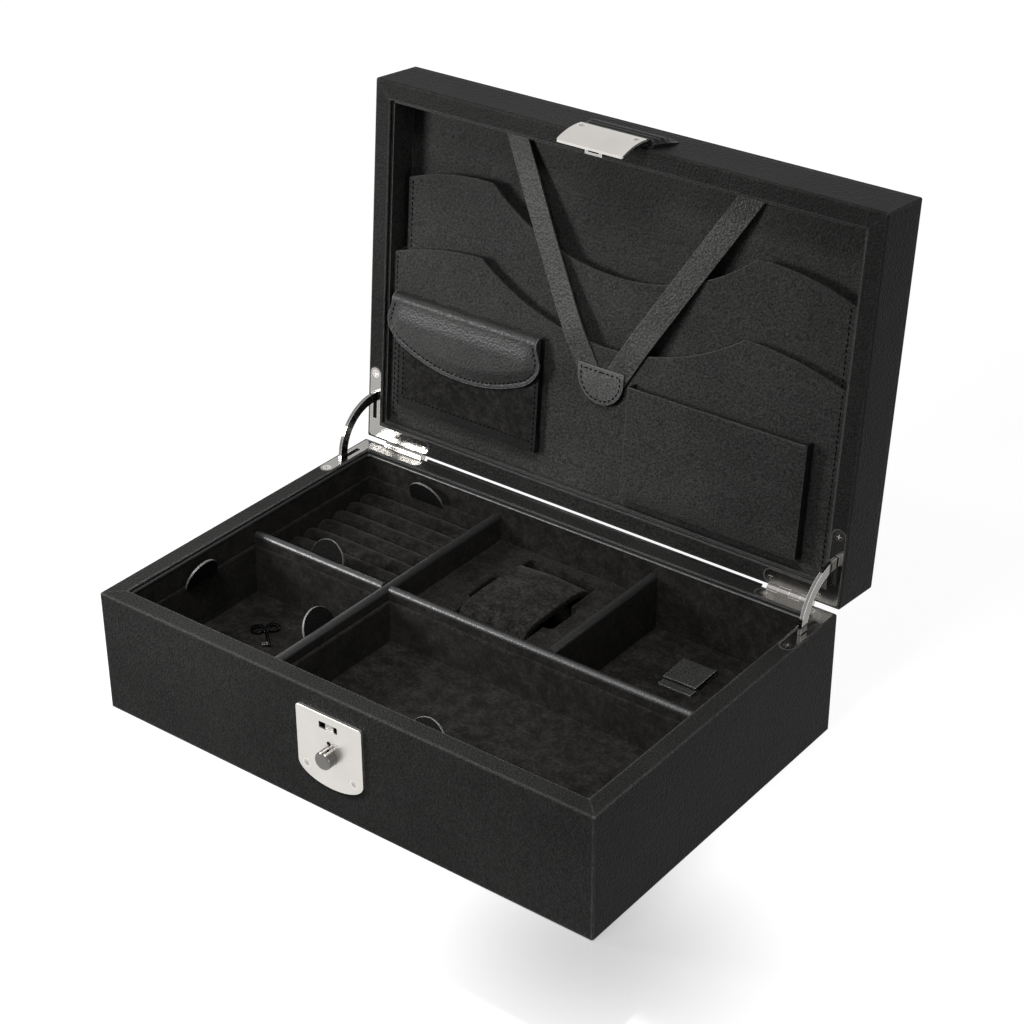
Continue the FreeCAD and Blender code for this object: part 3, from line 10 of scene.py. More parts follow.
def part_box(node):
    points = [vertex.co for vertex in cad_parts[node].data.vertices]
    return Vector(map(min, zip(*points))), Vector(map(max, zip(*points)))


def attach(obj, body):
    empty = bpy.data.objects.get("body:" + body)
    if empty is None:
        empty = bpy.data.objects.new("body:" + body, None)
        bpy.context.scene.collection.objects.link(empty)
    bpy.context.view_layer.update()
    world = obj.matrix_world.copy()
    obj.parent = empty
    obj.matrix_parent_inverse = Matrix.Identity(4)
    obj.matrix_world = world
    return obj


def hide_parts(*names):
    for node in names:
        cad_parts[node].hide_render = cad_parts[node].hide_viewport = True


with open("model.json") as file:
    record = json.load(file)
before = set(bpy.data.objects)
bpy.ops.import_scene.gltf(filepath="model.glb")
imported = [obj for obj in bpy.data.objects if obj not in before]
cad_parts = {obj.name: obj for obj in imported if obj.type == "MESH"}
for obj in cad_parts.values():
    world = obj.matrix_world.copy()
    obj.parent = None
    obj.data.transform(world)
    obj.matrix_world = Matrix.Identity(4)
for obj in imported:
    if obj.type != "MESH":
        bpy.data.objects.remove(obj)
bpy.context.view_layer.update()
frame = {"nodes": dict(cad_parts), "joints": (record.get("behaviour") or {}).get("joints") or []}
print("frame loaded")

# Lid pieces are modelled with the lid shut and then turned open about its pins
lidJoint = next(joint for joint in frame["joints"] if joint["name"] == "lid_hinge")
pinPoint = Vector(lidJoint["pos_m"])
openAngle = math.radians(-lidJoint["range_deg"][0])
openTurn = Matrix.Translation(pinPoint) @ Matrix.Rotation(-openAngle, 4, "X") @ Matrix.Translation(-pinPoint)
closeTurn = openTurn.inverted()


def boxAround(spots):
    # lowest and highest corner of some points
    return (Vector([min(spot[axis] for spot in spots) for axis in range(3)]),
            Vector([max(spot[axis] for spot in spots) for axis in range(3)]))


def closedBox(node):
    # lowest and highest corner of a lid node, as if the lid were shut
    return boxAround([closeTurn @ vert.co for vert in frame["nodes"][node].data.vertices])


def restBox(node):
    # lowest and highest corner of a node where it rests
    return tuple(Vector(corner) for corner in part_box(node))


def grey(level):
    return level, level, level


# Shader helpers: a feed is a level or another node's output
def feed(tree, node, feeds):
    for socket, source in feeds.items():
        if isinstance(source, bpy.types.NodeSocket):
            tree.links.new(source, node.inputs[socket])
        else:
            node.inputs[socket].default_value = source


def addNode(tree, kind, feeds, **settings):
    node = tree.nodes.new("ShaderNode" + kind)
    for setting, choice in settings.items():
        setattr(node, setting, choice)
    feed(tree, node, feeds)
    return node


def newMaterial(name):
    material = bpy.data.materials.new(name)
    material.use_nodes = True
    return material, material.node_tree, material.node_tree.nodes["Principled BSDF"]


def objectPlace(tree):
    return addNode(tree, "TexCoord", {}).outputs["Object"]


def objectNoise(tree, scale, detail, rough, stretch=(1, 1, 1)):
    mapping = addNode(tree, "Mapping", {"Vector": objectPlace(tree), "Scale": stretch})
    return addNode(tree, "TexNoise", {"Vector": mapping.outputs["Vector"], "Scale": scale, "Detail": detail,
                                      "Roughness": rough}).outputs["Fac"]


def objectCells(tree, scale):
    return addNode(tree, "TexVoronoi", {"Vector": objectPlace(tree), "Scale": scale}).outputs["Distance"]


def ramp(tree, pattern, low, high, colors):
    # a pattern's value turned into a colour, between two places
    band = addNode(tree, "ValToRGB", {"Fac": pattern})
    for element, position, color in zip(band.color_ramp.elements, (low, high), colors):
        element.position = position
        element.color = (*color, 1)
    return band.outputs["Color"]


def between(tree, pattern, low, high):
    # a pattern's value spread between two levels
    return addNode(tree, "MapRange", {"Value": pattern, "To Min": low, "To Max": high}).outputs["Result"]


def multiplied(tree, first, second, factor):
    return addNode(tree, "Mix", {"Factor": factor, "A": first, "B": second},
                   data_type="RGBA", blend_type="MULTIPLY").outputs["Result"]


def bumpFrom(tree, height, strength, distance, under=None):
    feeds = {"Height": height, "Strength": strength, "Distance": distance}
    if under:
        feeds["Normal"] = under
    return addNode(tree, "Bump", feeds).outputs["Normal"]


def edgeHighlightPaint(tree, paint, edge, radius, low, high):
    # a painted highlight: a lighter colour where a face turns over a corner, by the rounded normal
    # times the true one: all of it at low and none at high
    rounded = addNode(tree, "Bevel", {"Radius": radius}, samples=4).outputs["Normal"]
    surface = addNode(tree, "NewGeometry", {}).outputs["Normal"]
    match = addNode(tree, "VectorMath", {0: rounded, 1: surface}, operation="DOT_PRODUCT").outputs["Value"]
    share = addNode(tree, "MapRange", {"Value": match, "From Min": high, "From Max": low}).outputs["Result"]
    return addNode(tree, "Mix", {"Factor": share, "A": paint, "B": (*edge, 1)},
                   data_type="RGBA").outputs["Result"]


# Materials, all of them patterns on Object coordinates
leatherLook = {"driftScale": 14, "driftRamp": (0.3, 0.72), "fineShare": 1.2, "toneRamp": (0.36, 0.64),
               "tones": (grey(0.5), grey(1.55)), "roughSpread": 0.07, "highlightBand": (0.9, 0.99),
               "pebbleBump": 0.8, "poreBump": 0.35, "poreShare": 0.6}


def leatherMaterial(name, dark, light, rough, grainScale, grainDepth, specular, edge=None, highlightReach=0.0007):
    # pebbled grain from cells, broad colour drift, and pores
    material, tree, shader = newMaterial(name)
    drift = objectNoise(tree, leatherLook["driftScale"], detail=5, rough=0.6)
    fine = objectNoise(tree, grainScale * leatherLook["fineShare"], detail=3, rough=0.65)
    color = ramp(tree, drift, *leatherLook["driftRamp"], (dark, light))
    tone = ramp(tree, fine, *leatherLook["toneRamp"], leatherLook["tones"])
    paint = multiplied(tree, color, tone, 1.0)
    # the edge colour is a painted highlight along the edges
    if edge:
        paint = edgeHighlightPaint(tree, paint, edge, highlightReach, *leatherLook["highlightBand"])
    spread = leatherLook["roughSpread"]
    pebbles = bumpFrom(tree, objectCells(tree, grainScale), leatherLook["pebbleBump"], grainDepth)
    pores = bumpFrom(tree, fine, leatherLook["poreBump"], grainDepth * leatherLook["poreShare"], pebbles)
    feed(tree, shader, {"Base Color": paint, "Roughness": between(tree, fine, rough - spread, rough + spread),
                        "Normal": pores, "Specular IOR Level": specular})
    return material


suedeLook = {"patchRamp": (0.41, 0.6), "fibreScale": 520, "fibreRamp": (0.36, 0.66),
             "fibreTones": (grey(0.35), grey(1.6)), "fibreShare": 0.9, "pileBump": 0.7, "patchBump": 0.4,
             "patchDepth": 4}


def suedeMaterial(name, dark, light, patchScale=110, nap=0.00018):
    # brushed patches, short nap and a soft sheen
    material, tree, shader = newMaterial(name)
    patches = objectNoise(tree, patchScale, detail=9, rough=0.8)
    fibre = objectNoise(tree, suedeLook["fibreScale"], detail=3, rough=0.75)
    color = ramp(tree, patches, *suedeLook["patchRamp"], (dark, light))
    shade = ramp(tree, fibre, *suedeLook["fibreRamp"], suedeLook["fibreTones"])
    pile = bumpFrom(tree, fibre, suedeLook["pileBump"], nap)
    brushed = bumpFrom(tree, patches, suedeLook["patchBump"], nap * suedeLook["patchDepth"], pile)
    feed(tree, shader, {"Base Color": multiplied(tree, color, shade, suedeLook["fibreShare"]),
                        "Normal": brushed, "Roughness": 0.95, "Specular IOR Level": 0.08,
                        "Sheen Weight": 0.06, "Sheen Roughness": 0.45, "Sheen Tint": (0.75, 0.7, 0.66, 1)})
    return material


metalLook = {"hazeScale": 60, "hazeRamp": (0.3, 0.7), "hazeShade": 0.93, "highlightRadius": 0.00045,
             "highlightBand": (0.93, 0.995), "roughShares": (0.8, 1.3), "hairScale": 1200, "hairBump": 0.15}


def metalMaterial(name, color, rough, edge=None, stretch=(1, 1, 1), hairDepth=0.00001):
    # hazy metal with fine hairs, with painted glints that make its edges brighter than its faces
    material, tree, shader = newMaterial(name)
    haze = objectNoise(tree, metalLook["hazeScale"], detail=4, rough=0.6)
    dull = tuple(channel * metalLook["hazeShade"] for channel in color)
    paint = ramp(tree, haze, *metalLook["hazeRamp"], (dull, color))
    # the edge colour is a painted glint along the edges
    if edge:
        paint = edgeHighlightPaint(tree, paint, edge, metalLook["highlightRadius"], *metalLook["highlightBand"])
    low, high = (rough * share for share in metalLook["roughShares"])
    hairs = objectNoise(tree, metalLook["hairScale"], detail=2, rough=0.5, stretch=stretch)
    feed(tree, shader, {"Base Color": paint, "Metallic": 1.0, "Roughness": between(tree, haze, low, high),
                        "Normal": bumpFrom(tree, hairs, metalLook["hairBump"], hairDepth)})
    return material


def woodMaterial(name, dark, light):
    # fine grain that runs along X
    material, tree, shader = newMaterial(name)
    grain = objectNoise(tree, scale=120, detail=6, rough=0.6, stretch=(0.1, 1, 1))
    feed(tree, shader, {"Base Color": ramp(tree, grain, low=0.3, high=0.7, colors=(dark, light)),
                        "Roughness": 0.7, "Normal": bumpFrom(tree, grain, strength=0.3, distance=0.0002)})
    return material


def threadMaterial(name, color):
    # twisted thread, from a fine noise squeezed along Z
    material, tree, shader = newMaterial(name)
    twist = objectNoise(tree, scale=2600, detail=2, rough=0.5, stretch=(1, 1, 2.5))
    shaded = tuple(channel * 0.5 for channel in color)
    feed(tree, shader, {"Base Color": ramp(tree, twist, low=0.35, high=0.65, colors=(shaded, color)),
                        "Roughness": 0.7, "Specular IOR Level": 0.04,
                        "Normal": bumpFrom(tree, twist, strength=0.6, distance=0.0001)})
    return material


# the edge colours given to these leathers are painted highlights along their edges
coverLeather = leatherMaterial("coverLeather", (0.009, 0.009, 0.0087), (0.0145, 0.0145, 0.014), rough=0.5,
                               grainScale=800, grainDepth=0.00035, specular=0.035,
                               edge=(0.1, 0.1, 0.098), highlightReach=0.0014)
capLeather = leatherMaterial("capLeather", (0.009, 0.009, 0.0088), (0.013, 0.013, 0.0127), rough=0.38,
                             grainScale=900, grainDepth=0.0001, specular=0.45)
smoothLeather = leatherMaterial("smoothLeather", (0.006, 0.006, 0.0059), (0.010, 0.010, 0.0098), rough=0.36,
                                grainScale=900, grainDepth=0.00016, specular=0.12)
lidLeather = leatherMaterial("lidLeather", (0.017, 0.017, 0.0165), (0.029, 0.029, 0.028), rough=0.55,
                             grainScale=720, grainDepth=0.00035, specular=0.04, edge=(0.075, 0.075, 0.073))
flapLeather = leatherMaterial("flapLeather", (0.018, 0.018, 0.0176), (0.028, 0.028, 0.0272), rough=0.4,
                              grainScale=800, grainDepth=0.00025, specular=0.16, edge=(0.13, 0.13, 0.128))
bandLeather = leatherMaterial("bandLeather", (0.008, 0.008, 0.0078), (0.014, 0.014, 0.0135), rough=0.5,
                              grainScale=900, grainDepth=0.0002, specular=0.06)
tabLeather = leatherMaterial("tabLeather", (0.003, 0.003, 0.0029), (0.006, 0.006, 0.0058), rough=0.8,
                             grainScale=900, grainDepth=0.0002, specular=0.02)
# painted light: the round tab's leather is lighter than the straps' to stand in for the light on its top
litBadgeLeather = leatherMaterial("litBadgeLeather", (0.041, 0.041, 0.04), (0.067, 0.067, 0.066), rough=0.45,
                               grainScale=800, grainDepth=0.00025, specular=0.15, edge=(0.15, 0.15, 0.148))
strapLeather = leatherMaterial("strapLeather", (0.026, 0.026, 0.025), (0.042, 0.042, 0.04), rough=0.44,
                               grainScale=700, grainDepth=0.0004, specular=0.1, edge=(0.09, 0.09, 0.088))
loopLeather = leatherMaterial("loopLeather", (0.017, 0.017, 0.0165), (0.03, 0.03, 0.029), rough=0.45,
                              grainScale=700, grainDepth=0.0002, specular=0.15, edge=(0.15, 0.15, 0.148))
# a lighter leather for the finger tabs' narrow faces
lightTabEdge = leatherMaterial("lightTabEdge", (0.06, 0.06, 0.058), (0.1, 0.1, 0.097), rough=0.4,
                              grainScale=1500, grainDepth=0.00004, specular=0.3)
boxSuede = suedeMaterial("boxSuede", (0.0016, 0.00155, 0.0014), (0.0105, 0.0098, 0.0086))
cuffSuede = suedeMaterial("cuffSuede", (0.0024, 0.0023, 0.0021), (0.0125, 0.0117, 0.0104), patchScale=130)
pouchSuede = suedeMaterial("pouchSuede", (0.0035, 0.0035, 0.0033), (0.0135, 0.013, 0.0124), patchScale=150)
deepSuede = suedeMaterial("deepSuede", grey(0.0015), grey(0.004), patchScale=150)
footFelt = suedeMaterial("footFelt", grey(0.006), grey(0.013), patchScale=300, nap=0.0003)
# the edge colours given to these metals are painted glints along their edges
nickel = metalMaterial("nickel", (0.5, 0.485, 0.46), rough=0.16, edge=(0.85, 0.83, 0.8))
leafNickel = metalMaterial("leafNickel", (0.34, 0.331, 0.317), rough=0.2, edge=(0.95, 0.93, 0.9))
# painted reflection: the arms' nickel is darker than the rest, standing in for the dark reflection on them
armNickel = metalMaterial("armNickel", (0.22, 0.215, 0.205), rough=0.1, edge=(0.95, 0.93, 0.9))
brightNickel = metalMaterial("brightNickel", (0.6, 0.58, 0.548), rough=0.34, stretch=(0.05, 1, 1),
                             hairDepth=0.00002, edge=(0.74, 0.72, 0.68))
# painted reflection: the button's nickel is dark, standing in for the black reflections on its polished sides
buttonNickel = metalMaterial("buttonNickel", (0.16, 0.155, 0.148), rough=0.12, edge=(0.8, 0.78, 0.75))
keyMetal = metalMaterial("keyMetal", grey(0.06), rough=0.16, edge=(0.9, 0.9, 0.88))
lockSteel = metalMaterial("lockSteel", (0.3, 0.3, 0.29), rough=0.35, stretch=(1, 0.1, 1), hairDepth=0.00003)
boardWood = woodMaterial("boardWood", (0.008, 0.0075, 0.007), (0.02, 0.018, 0.016))
backingBoard = woodMaterial("backingBoard", (0.28, 0.22, 0.15), (0.4, 0.33, 0.25))
blackThread = threadMaterial("blackThread", grey(0.0012))

nodeFinish = {
    coverLeather: ["base_cover", "lid_cover"],
    capLeather: ["divider_caps"],
    lidLeather: ["lid_lining"],
    boxSuede: ["base_lining", "long_divider", "left_divider", "right_divider", "back_divider",
               "watch_insert", "ring_tray", "small_tray", "large_tray", "floor_panel"],
    footFelt: ["base_pad"],
    boardWood: ["base_carcass", "lid_carcass", "tray_supports"],
    backingBoard: ["lid_backing"],
    nickel: ["hinge_pins", "base_hinge_screws", "lid_hinge_screws", "lock_screws", "hasp_screws",
             "hasp_staple"],
    buttonNickel: ["lock_button"],
    leafNickel: ["base_hinge_leaf_left", "base_hinge_leaf_right", "lid_hinge_leaf_left",
                 "lid_hinge_leaf_right"],
    armNickel: ["quadrant_arm_left", "quadrant_arm_right"],
    keyMetal: ["key"],
    brightNickel: ["lock_plate", "hasp_plate"],
    lockSteel: ["lock_case", "lock_catch", "catch_springs"],
    smoothLeather: ["rear_pocket_panel", "front_pocket_panel", "pouch_body", "box_pocket", "lid_strap_left",
                    "lid_strap_right", "strap_tab", "hasp_strap", "pouch_flap", "strap_knuckle",
                    "strap_backing", "ring_tray_tabs", "small_tray_tabs", "large_tray_tab", "pull_loop",
                    "watch_cuff", "ring_rolls"],
}
for finish, names in nodeFinish.items():
    for name in names:
        slots = frame["nodes"][name].data.materials
        slots.clear()
        slots.append(finish)
print("materials made")


# How the modelled pieces are made
def gridShape(columns, rows, place):
    # a flat grid whose points are moved to place(across, along), both from 0 to 1
    shape = bmesh.new()
    bmesh.ops.create_grid(shape, x_segments=columns, y_segments=rows, size=0.5)
    for vert in shape.verts:
        vert.co = Vector(place(vert.co.x + 0.5, vert.co.y + 0.5))
    return shape


def mergedCopy(node, shut=False):
    # a merged copy of a CAD node's mesh, as if the lid were shut if asked
    shape = bmesh.new()
    shape.from_mesh(frame["nodes"][node].data)
    if shut:
        bmesh.ops.transform(shape, matrix=closeTurn, verts=shape.verts)
    bmesh.ops.remove_doubles(shape, verts=shape.verts, dist=0.00001)
    bmesh.ops.dissolve_limit(shape, angle_limit=math.radians(0.5), verts=shape.verts, edges=shape.edges)
    return shape


edgeSetup = {"segments": 3, "angle": 38}


def makePiece(name, shape, finish, body, nodes=(), shut=False, wall=None, edge=None, even=True):
    # a finished piece from a bmesh: shut turns it open with the lid, wall gives it a thickness and edge
    # rounds its corners
    if shut:
        bmesh.ops.transform(shape, matrix=openTurn, verts=shape.verts)
    bmesh.ops.recalc_face_normals(shape, faces=shape.faces)
    data = bpy.data.meshes.new(name)
    shape.to_mesh(data)
    shape.free()
    data.polygons.foreach_set("use_smooth", [True] * len(data.polygons))
    for paint in finish if isinstance(finish, tuple) else (finish,):
        data.materials.append(paint)
    piece = bpy.data.objects.new(name, data)
    bpy.context.scene.collection.objects.link(piece)
    if wall:
        thickness = piece.modifiers.new("wall", "SOLIDIFY")
        thickness.thickness = wall
        thickness.offset = 0
        thickness.use_even_offset = even
    if edge:
        bevel = piece.modifiers.new("edge", "BEVEL")
        bevel.affect = "EDGES"
        bevel.width = edge
        bevel.segments = edgeSetup["segments"]
        bevel.profile = 0.5
        bevel.material = -1
        bevel.limit_method = "ANGLE"
        bevel.angle_limit = math.radians(edgeSetup["angle"])
        bevel.harden_normals = True
    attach(piece, body)
    if nodes:
        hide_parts(*nodes)
    return piece


def walkAlong(points, pitch):
    # places and headings every pitch along a line of points
    left, spots = pitch / 2, []
    for start, stop in zip(points, points[1:]):
        run = stop - start
        while left < run.length:
            spots.append((start + run.normalized() * left, run.normalized()))
            left += pitch
        left -= run.length
    return spots


stitchSetup = {"long": 0.0023, "wide": 0.0009, "high": 0.00072, "pitch": 0.0032, "slant": 0.12,
               "proud": 0.00006, "sides": 7, "rings": 5}
lidOut = Vector((0, 0, -1))  # out of the lid's inner face, with the lid shut


def lidStitches(name, lines, body):
    # short rounded stitches along each line, modelled with the lid shut
    shape = bmesh.new()
    for line in lines:
        for place, heading in walkAlong(line, stitchSetup["pitch"]):
            side = lidOut.cross(heading).normalized()
            turn = Matrix((heading, side, lidOut)).transposed().to_4x4()
            made = bmesh.ops.create_uvsphere(shape, u_segments=stitchSetup["sides"],
                                             v_segments=stitchSetup["rings"], radius=0.5)
            bmesh.ops.scale(shape, verts=made["verts"],
                            vec=(stitchSetup["long"], stitchSetup["wide"], stitchSetup["high"]))
            slant = Matrix.Rotation(stitchSetup["slant"], 4, "Z")
            spot = Matrix.Translation(place + lidOut * stitchSetup["proud"])
            bmesh.ops.transform(shape, matrix=spot @ turn @ slant, verts=made["verts"])
    makePiece(name, shape, blackThread, body, shut=True)


def smoothStep(low, high, value):
    share = min(max((value - low) / (high - low), 0), 1)
    return share * share * (3 - 2 * share)


def cutArea(shape):
    return sum(face.calc_area() for face in shape.faces)


# Pocket panels: curved mouths, sides turned back to the lining
panelSetup = {"thick": 0.0016, "columns": 170, "rows": 22, "ripple": 0.00018, "rippleScale": 22,
              "rippleSeed": 50, "edge": 0.0005, "edgeClear": 0.0003, "rayAhead": 0.01, "measures": 40,
              "seamInset": 0.0024, "seamTop": 0.002, "seamFoot": 0.003}


def mouthLine(node):
    # where a panel's mouth lies at each place across it
    shape = mergedCopy(node, shut=True)
    tree = BVHTree.FromBMesh(shape)
    shape.free()
    low, high = closedBox(node)
    reach = high.x - panelSetup["edgeClear"]
    level = low.z + panelSetup["thick"] / 2

    def mouthAt(across):
        # a ray from in front of the panel meets its mouth
        start = Vector((max(-reach, min(reach, across)), low.y - panelSetup["rayAhead"], level))
        return tree.ray_cast(start, Vector((0, 1, 0)))[0].y
    return mouthAt


def pocketPanel(name, node):
    low, high = closedBox(node)
    mouthAt = mouthLine(node)
    level = low.z + panelSetup["thick"] / 2
    half = high.x - panelSetup["thick"] / 2
    wallHigh = high.z - level
    around = 2 * (half + wallHigh)

    def place(across, along):
        # up the left wall, over the face and down the right wall
        run = across * around - wallHigh
        x = min(max(run - half, -half), half)
        lift = max(-run, run - 2 * half, 0)
        mouth = mouthAt(x)
        y = mouth + (high.y - mouth) * along
        scale = panelSetup["rippleScale"]
        wave = noise.noise(Vector((x * scale, y * scale, low.z * panelSetup["rippleSeed"])))
        wave *= panelSetup["ripple"]
        return x, y, level + lift + (wave if lift == 0 else 0)
    shape = gridShape(panelSetup["columns"], panelSetup["rows"], place)
    area = cutArea(shape)
    piece = makePiece(name, shape, lidLeather, "lid", [node], shut=True,
                      wall=panelSetup["thick"], edge=panelSetup["edge"])
    measures = panelSetup["measures"]
    size = (around, high.y - min(mouthAt(half * step / measures) for step in range(measures + 1)))
    seam = half - panelSetup["seamInset"]
    top, foot = mouthAt(seam) + panelSetup["seamTop"], high.y - panelSetup["seamFoot"]
    lines = [[Vector((side * seam, top, low.z)), Vector((side * seam, foot, low.z))] for side in (-1, 1)]
    lidStitches(name + "Stitches", lines, "lid")
    print(name, "flat", [round(side, 4) for side in size], "area", round(area, 5))
    return mouthAt


rearMouth = pocketPanel("rearPanel", "rear_pocket_panel")
frontMouth = pocketPanel("frontPanel", "front_pocket_panel")
rearLow, frontLow = closedBox("rear_pocket_panel")[0], closedBox("front_pocket_panel")[0]

# Two straps run from under the lid's front edge, over both mouths, to under the round tab
strapSetup = {"width": 0.014, "thick": 0.0012, "columns": 6, "rows": 90, "edge": 0.0003, "leanRounds": 6,
              "rearAhead": 0.004, "rearGap": 0.0009, "frontAhead": 0.003, "frontGap": 0.0007, "flatFrom": 0.9,
              "rounds": 14, "tuck": 0.0058}


def strapEnds(node, side):
    # the middles of the strap's two ends: its box is its run plus its width, turned
    low, high = closedBox(node)
    box = high - low
    width = strapSetup["width"]
    lean = math.atan2(box.y, box.x)
    for turn in range(strapSetup["leanRounds"]):
        lean = math.atan2(box.y - width * math.cos(lean), box.x - width * math.sin(lean))
    start = Vector(((high.x if side > 0 else low.x) - side * width / 2 * math.sin(lean),
                    low.y + width / 2 * math.cos(lean), 0))
    stop = Vector(((low.x if side > 0 else high.x) + side * width / 2 * math.sin(lean),
                   high.y - width / 2 * math.cos(lean), 0))
    return start - (stop - start).normalized() * strapSetup["tuck"], stop


def strapHeights(start, stop, startZ, mouths):
    # the strap's height at each row: straight between the places it rests on, then smoothed
    rows = strapSetup["rows"]
    half = strapSetup["thick"] / 2
    (rearMouthAt, rearZ), (frontMouthAt, frontZ) = mouths
    spots = [start.lerp(stop, step / rows) for step in range(rows + 1)]
    overRear = next(row for row, spot in enumerate(spots)
                    if spot.y > rearMouthAt(spot.x) - strapSetup["rearAhead"]) / rows
    overFront = next(row for row, spot in enumerate(spots)
                     if spot.y > frontMouthAt(spot.x) - strapSetup["frontAhead"]) / rows
    stations = [(0, startZ - half), (overRear, rearZ - half - strapSetup["rearGap"]),
                (overFront, frontZ - half - strapSetup["frontGap"]),
                (strapSetup["flatFrom"], frontZ - half), (1, frontZ - half)]
    heights = []
    for step in range(rows + 1):
        share = step / rows
        for (before, beforeZ), (after, afterZ) in zip(stations, stations[1:]):
            if share <= after:
                heights.append(beforeZ + (afterZ - beforeZ) * (share - before) / (after - before))
                break
    for turn in range(strapSetup["rounds"]):
        middles = [sum(three) / 3 for three in zip(heights, heights[1:], heights[2:])]
        heights = [heights[0]] + middles + [heights[-1]]
    return heights


def lidStrap(name, node, side, mouths):
    width, rows = strapSetup["width"], strapSetup["rows"]
    start, stop = strapEnds(node, side)
    heights = strapHeights(start, stop, closedBox(node)[1].z, mouths)
    sideways = Vector((0, 0, 1)).cross(stop - start).normalized()

    def place(across, along):
        row = min(int(along * rows + 0.5), rows)
        spot = start.lerp(stop, along) + sideways * (across - 0.5) * width
        return spot.x, spot.y, heights[row]
    shape = gridShape(strapSetup["columns"], rows, place)
    area = cutArea(shape)
    piece = makePiece(name, shape, strapLeather, "lid", [node], shut=True,
                      wall=strapSetup["thick"], edge=strapSetup["edge"])
    print(name, "flat", width, round(area / width, 4))


mouths = ((rearMouth, rearLow.z), (frontMouth, frontLow.z))
lidStrap("strapRight", "lid_strap_right", 1, mouths)
lidStrap("strapLeft", "lid_strap_left", -1, mouths)

# The round tab sewn over the straps' ends
tabSetup = {"edge": 0.0005, "seamInset": 0.0024, "arcSteps": 24}


def roundedTabLine(low, high, inset, z):
    # a tab's outline: straight front and sides, half-round back
    half = (high.x - low.x) / 2 - inset
    bend = high.y - (high.x - low.x) / 2
    corners = [Vector((0, low.y + inset, z)), Vector((half, low.y + inset, z)), Vector((half, bend, z))]
    angles = [math.pi * step / tabSetup["arcSteps"] for step in range(1, tabSetup["arcSteps"] + 1)]
    arc = [Vector((half * math.cos(angle), bend + half * math.sin(angle), z)) for angle in angles]
    return corners + arc + [Vector((-half, low.y + inset, z)), corners[0]]


strapTab = makePiece("strapTab", mergedCopy("strap_tab", shut=True), litBadgeLeather, "lid",
                     ["strap_tab"], shut=True, edge=tabSetup["edge"])
tabLow, tabHigh = closedBox("strap_tab")
lidStitches("strapTabStitches", [roundedTabLine(tabLow, tabHigh, tabSetup["seamInset"], tabLow.z)],
            "lid")

# Patch pockets on the front panel: a puffed front, turned corners and side gussets that fold in
patchSetup = {"driftScale": 60, "driftSeed": 3, "mouthReach": 0.0002, "foldFade": 0.02, "footReach": 0.0001}


def patchPocket(name, node, finish, setup):
    # open along the front edge; front, bottom and both sides are one skin
    low, high = closedBox(node)
    wall = setup["wall"]
    left, right = low.x + wall / 2, high.x - wall / 2
    mouth, foot = low.y, high.y - wall / 2
    front = low.z + wall / 2

    def place(across, along):
        x, y = left + (right - left) * across, mouth + (foot - mouth) * along
        inset = min(x - left, right - x, foot - y)
        puff = setup["crown"] * smoothStep(0, setup["crownRun"], inset)
        scale = patchSetup["driftScale"]
        drift = noise.noise(Vector((x * scale, y * scale, patchSetup["driftSeed"]))) * setup["drift"]
        return x, y, front + setup["crown"] - puff + drift
    shape = gridShape(setup["columns"], setup["rows"], place)
    for face in shape.faces:
        middle = face.calc_center_median()
        band = setup["band"]
        if middle.x < left + band[0] or middle.x > right - band[1] or middle.y > foot - band[2]:
            face.material_index = 1
    rim = [edge for edge in shape.edges if edge.is_boundary
           and not all(vert.co.y < mouth + patchSetup["mouthReach"] for vert in edge.verts)]
    steps = setup["gussetSteps"]
    for step in range(1, steps + 1):
        share = step / steps
        made = bmesh.ops.extrude_edge_only(shape, edges=rim)["geom"]
        fresh = {part for part in made if isinstance(part, bmesh.types.BMVert)}
        rim = [part for part in made if isinstance(part, bmesh.types.BMEdge) and fresh.issuperset(part.verts)]
        bend = setup["gussetFold"] * math.sin(math.pi * share)
        for vert in fresh:
            vert.co.z = front + setup["crown"] + (high.z - front - setup["crown"]) * share
            fold = bend * smoothStep(0, patchSetup["foldFade"], foot - vert.co.y)
            if vert.co.y < foot - patchSetup["footReach"]:
                vert.co.x = left + fold if vert.co.x - left <= right - vert.co.x else right - fold
        for part in made:
            if isinstance(part, bmesh.types.BMFace):
                part.material_index = 2
    area = cutArea(shape)
    piece = makePiece(name, shape, finish, "lid", [node], shut=True, wall=wall,
                      edge=setup["edge"], even=False)
    return left, right, mouth, foot, front + setup["crown"]


pouchSetup = {"wall": 0.0012, "columns": 84, "rows": 60, "crown": 0.0007, "crownRun": 0.012, "drift": 0.0002,
              "band": (0.0062, 0.0026, 0.0068), "gussetSteps": 6, "gussetFold": 0.0022, "edge": 0.0006,
              "slot": "suede"}
pouchFinish = (pouchSuede, bandLeather, deepSuede)
left, right, mouth, foot, front = patchPocket("pouchBody", "pouch_body", pouchFinish, pouchSetup)
seamSetup = {"out": 0.0006, "puffed": 0.00034, "top": 0.02, "left": 0.0013, "right": 0.0014,
             "rightFoot": 0.001, "inner": 0.0052, "innerFoot": 0.0062, "innerRight": 0.002}
seamZ = front - seamSetup["out"]
innerZ = seamZ - seamSetup["puffed"]
seamTop = mouth + seamSetup["top"]
leftSeam, rightSeam = left + seamSetup["left"], right - seamSetup["right"]
innerSeam, innerFoot = left + seamSetup["inner"], foot - seamSetup["innerFoot"]
lidStitches("pouchStitches", [
    [Vector((leftSeam, seamTop, seamZ)), Vector((leftSeam, foot, seamZ))],
    [Vector((innerSeam, seamTop, innerZ)), Vector((innerSeam, innerFoot, innerZ)),
     Vector((right - seamSetup["innerRight"], innerFoot, innerZ))],
    [Vector((rightSeam, seamTop, seamZ)), Vector((rightSeam, foot - seamSetup["rightFoot"], seamZ))],
], "lid")

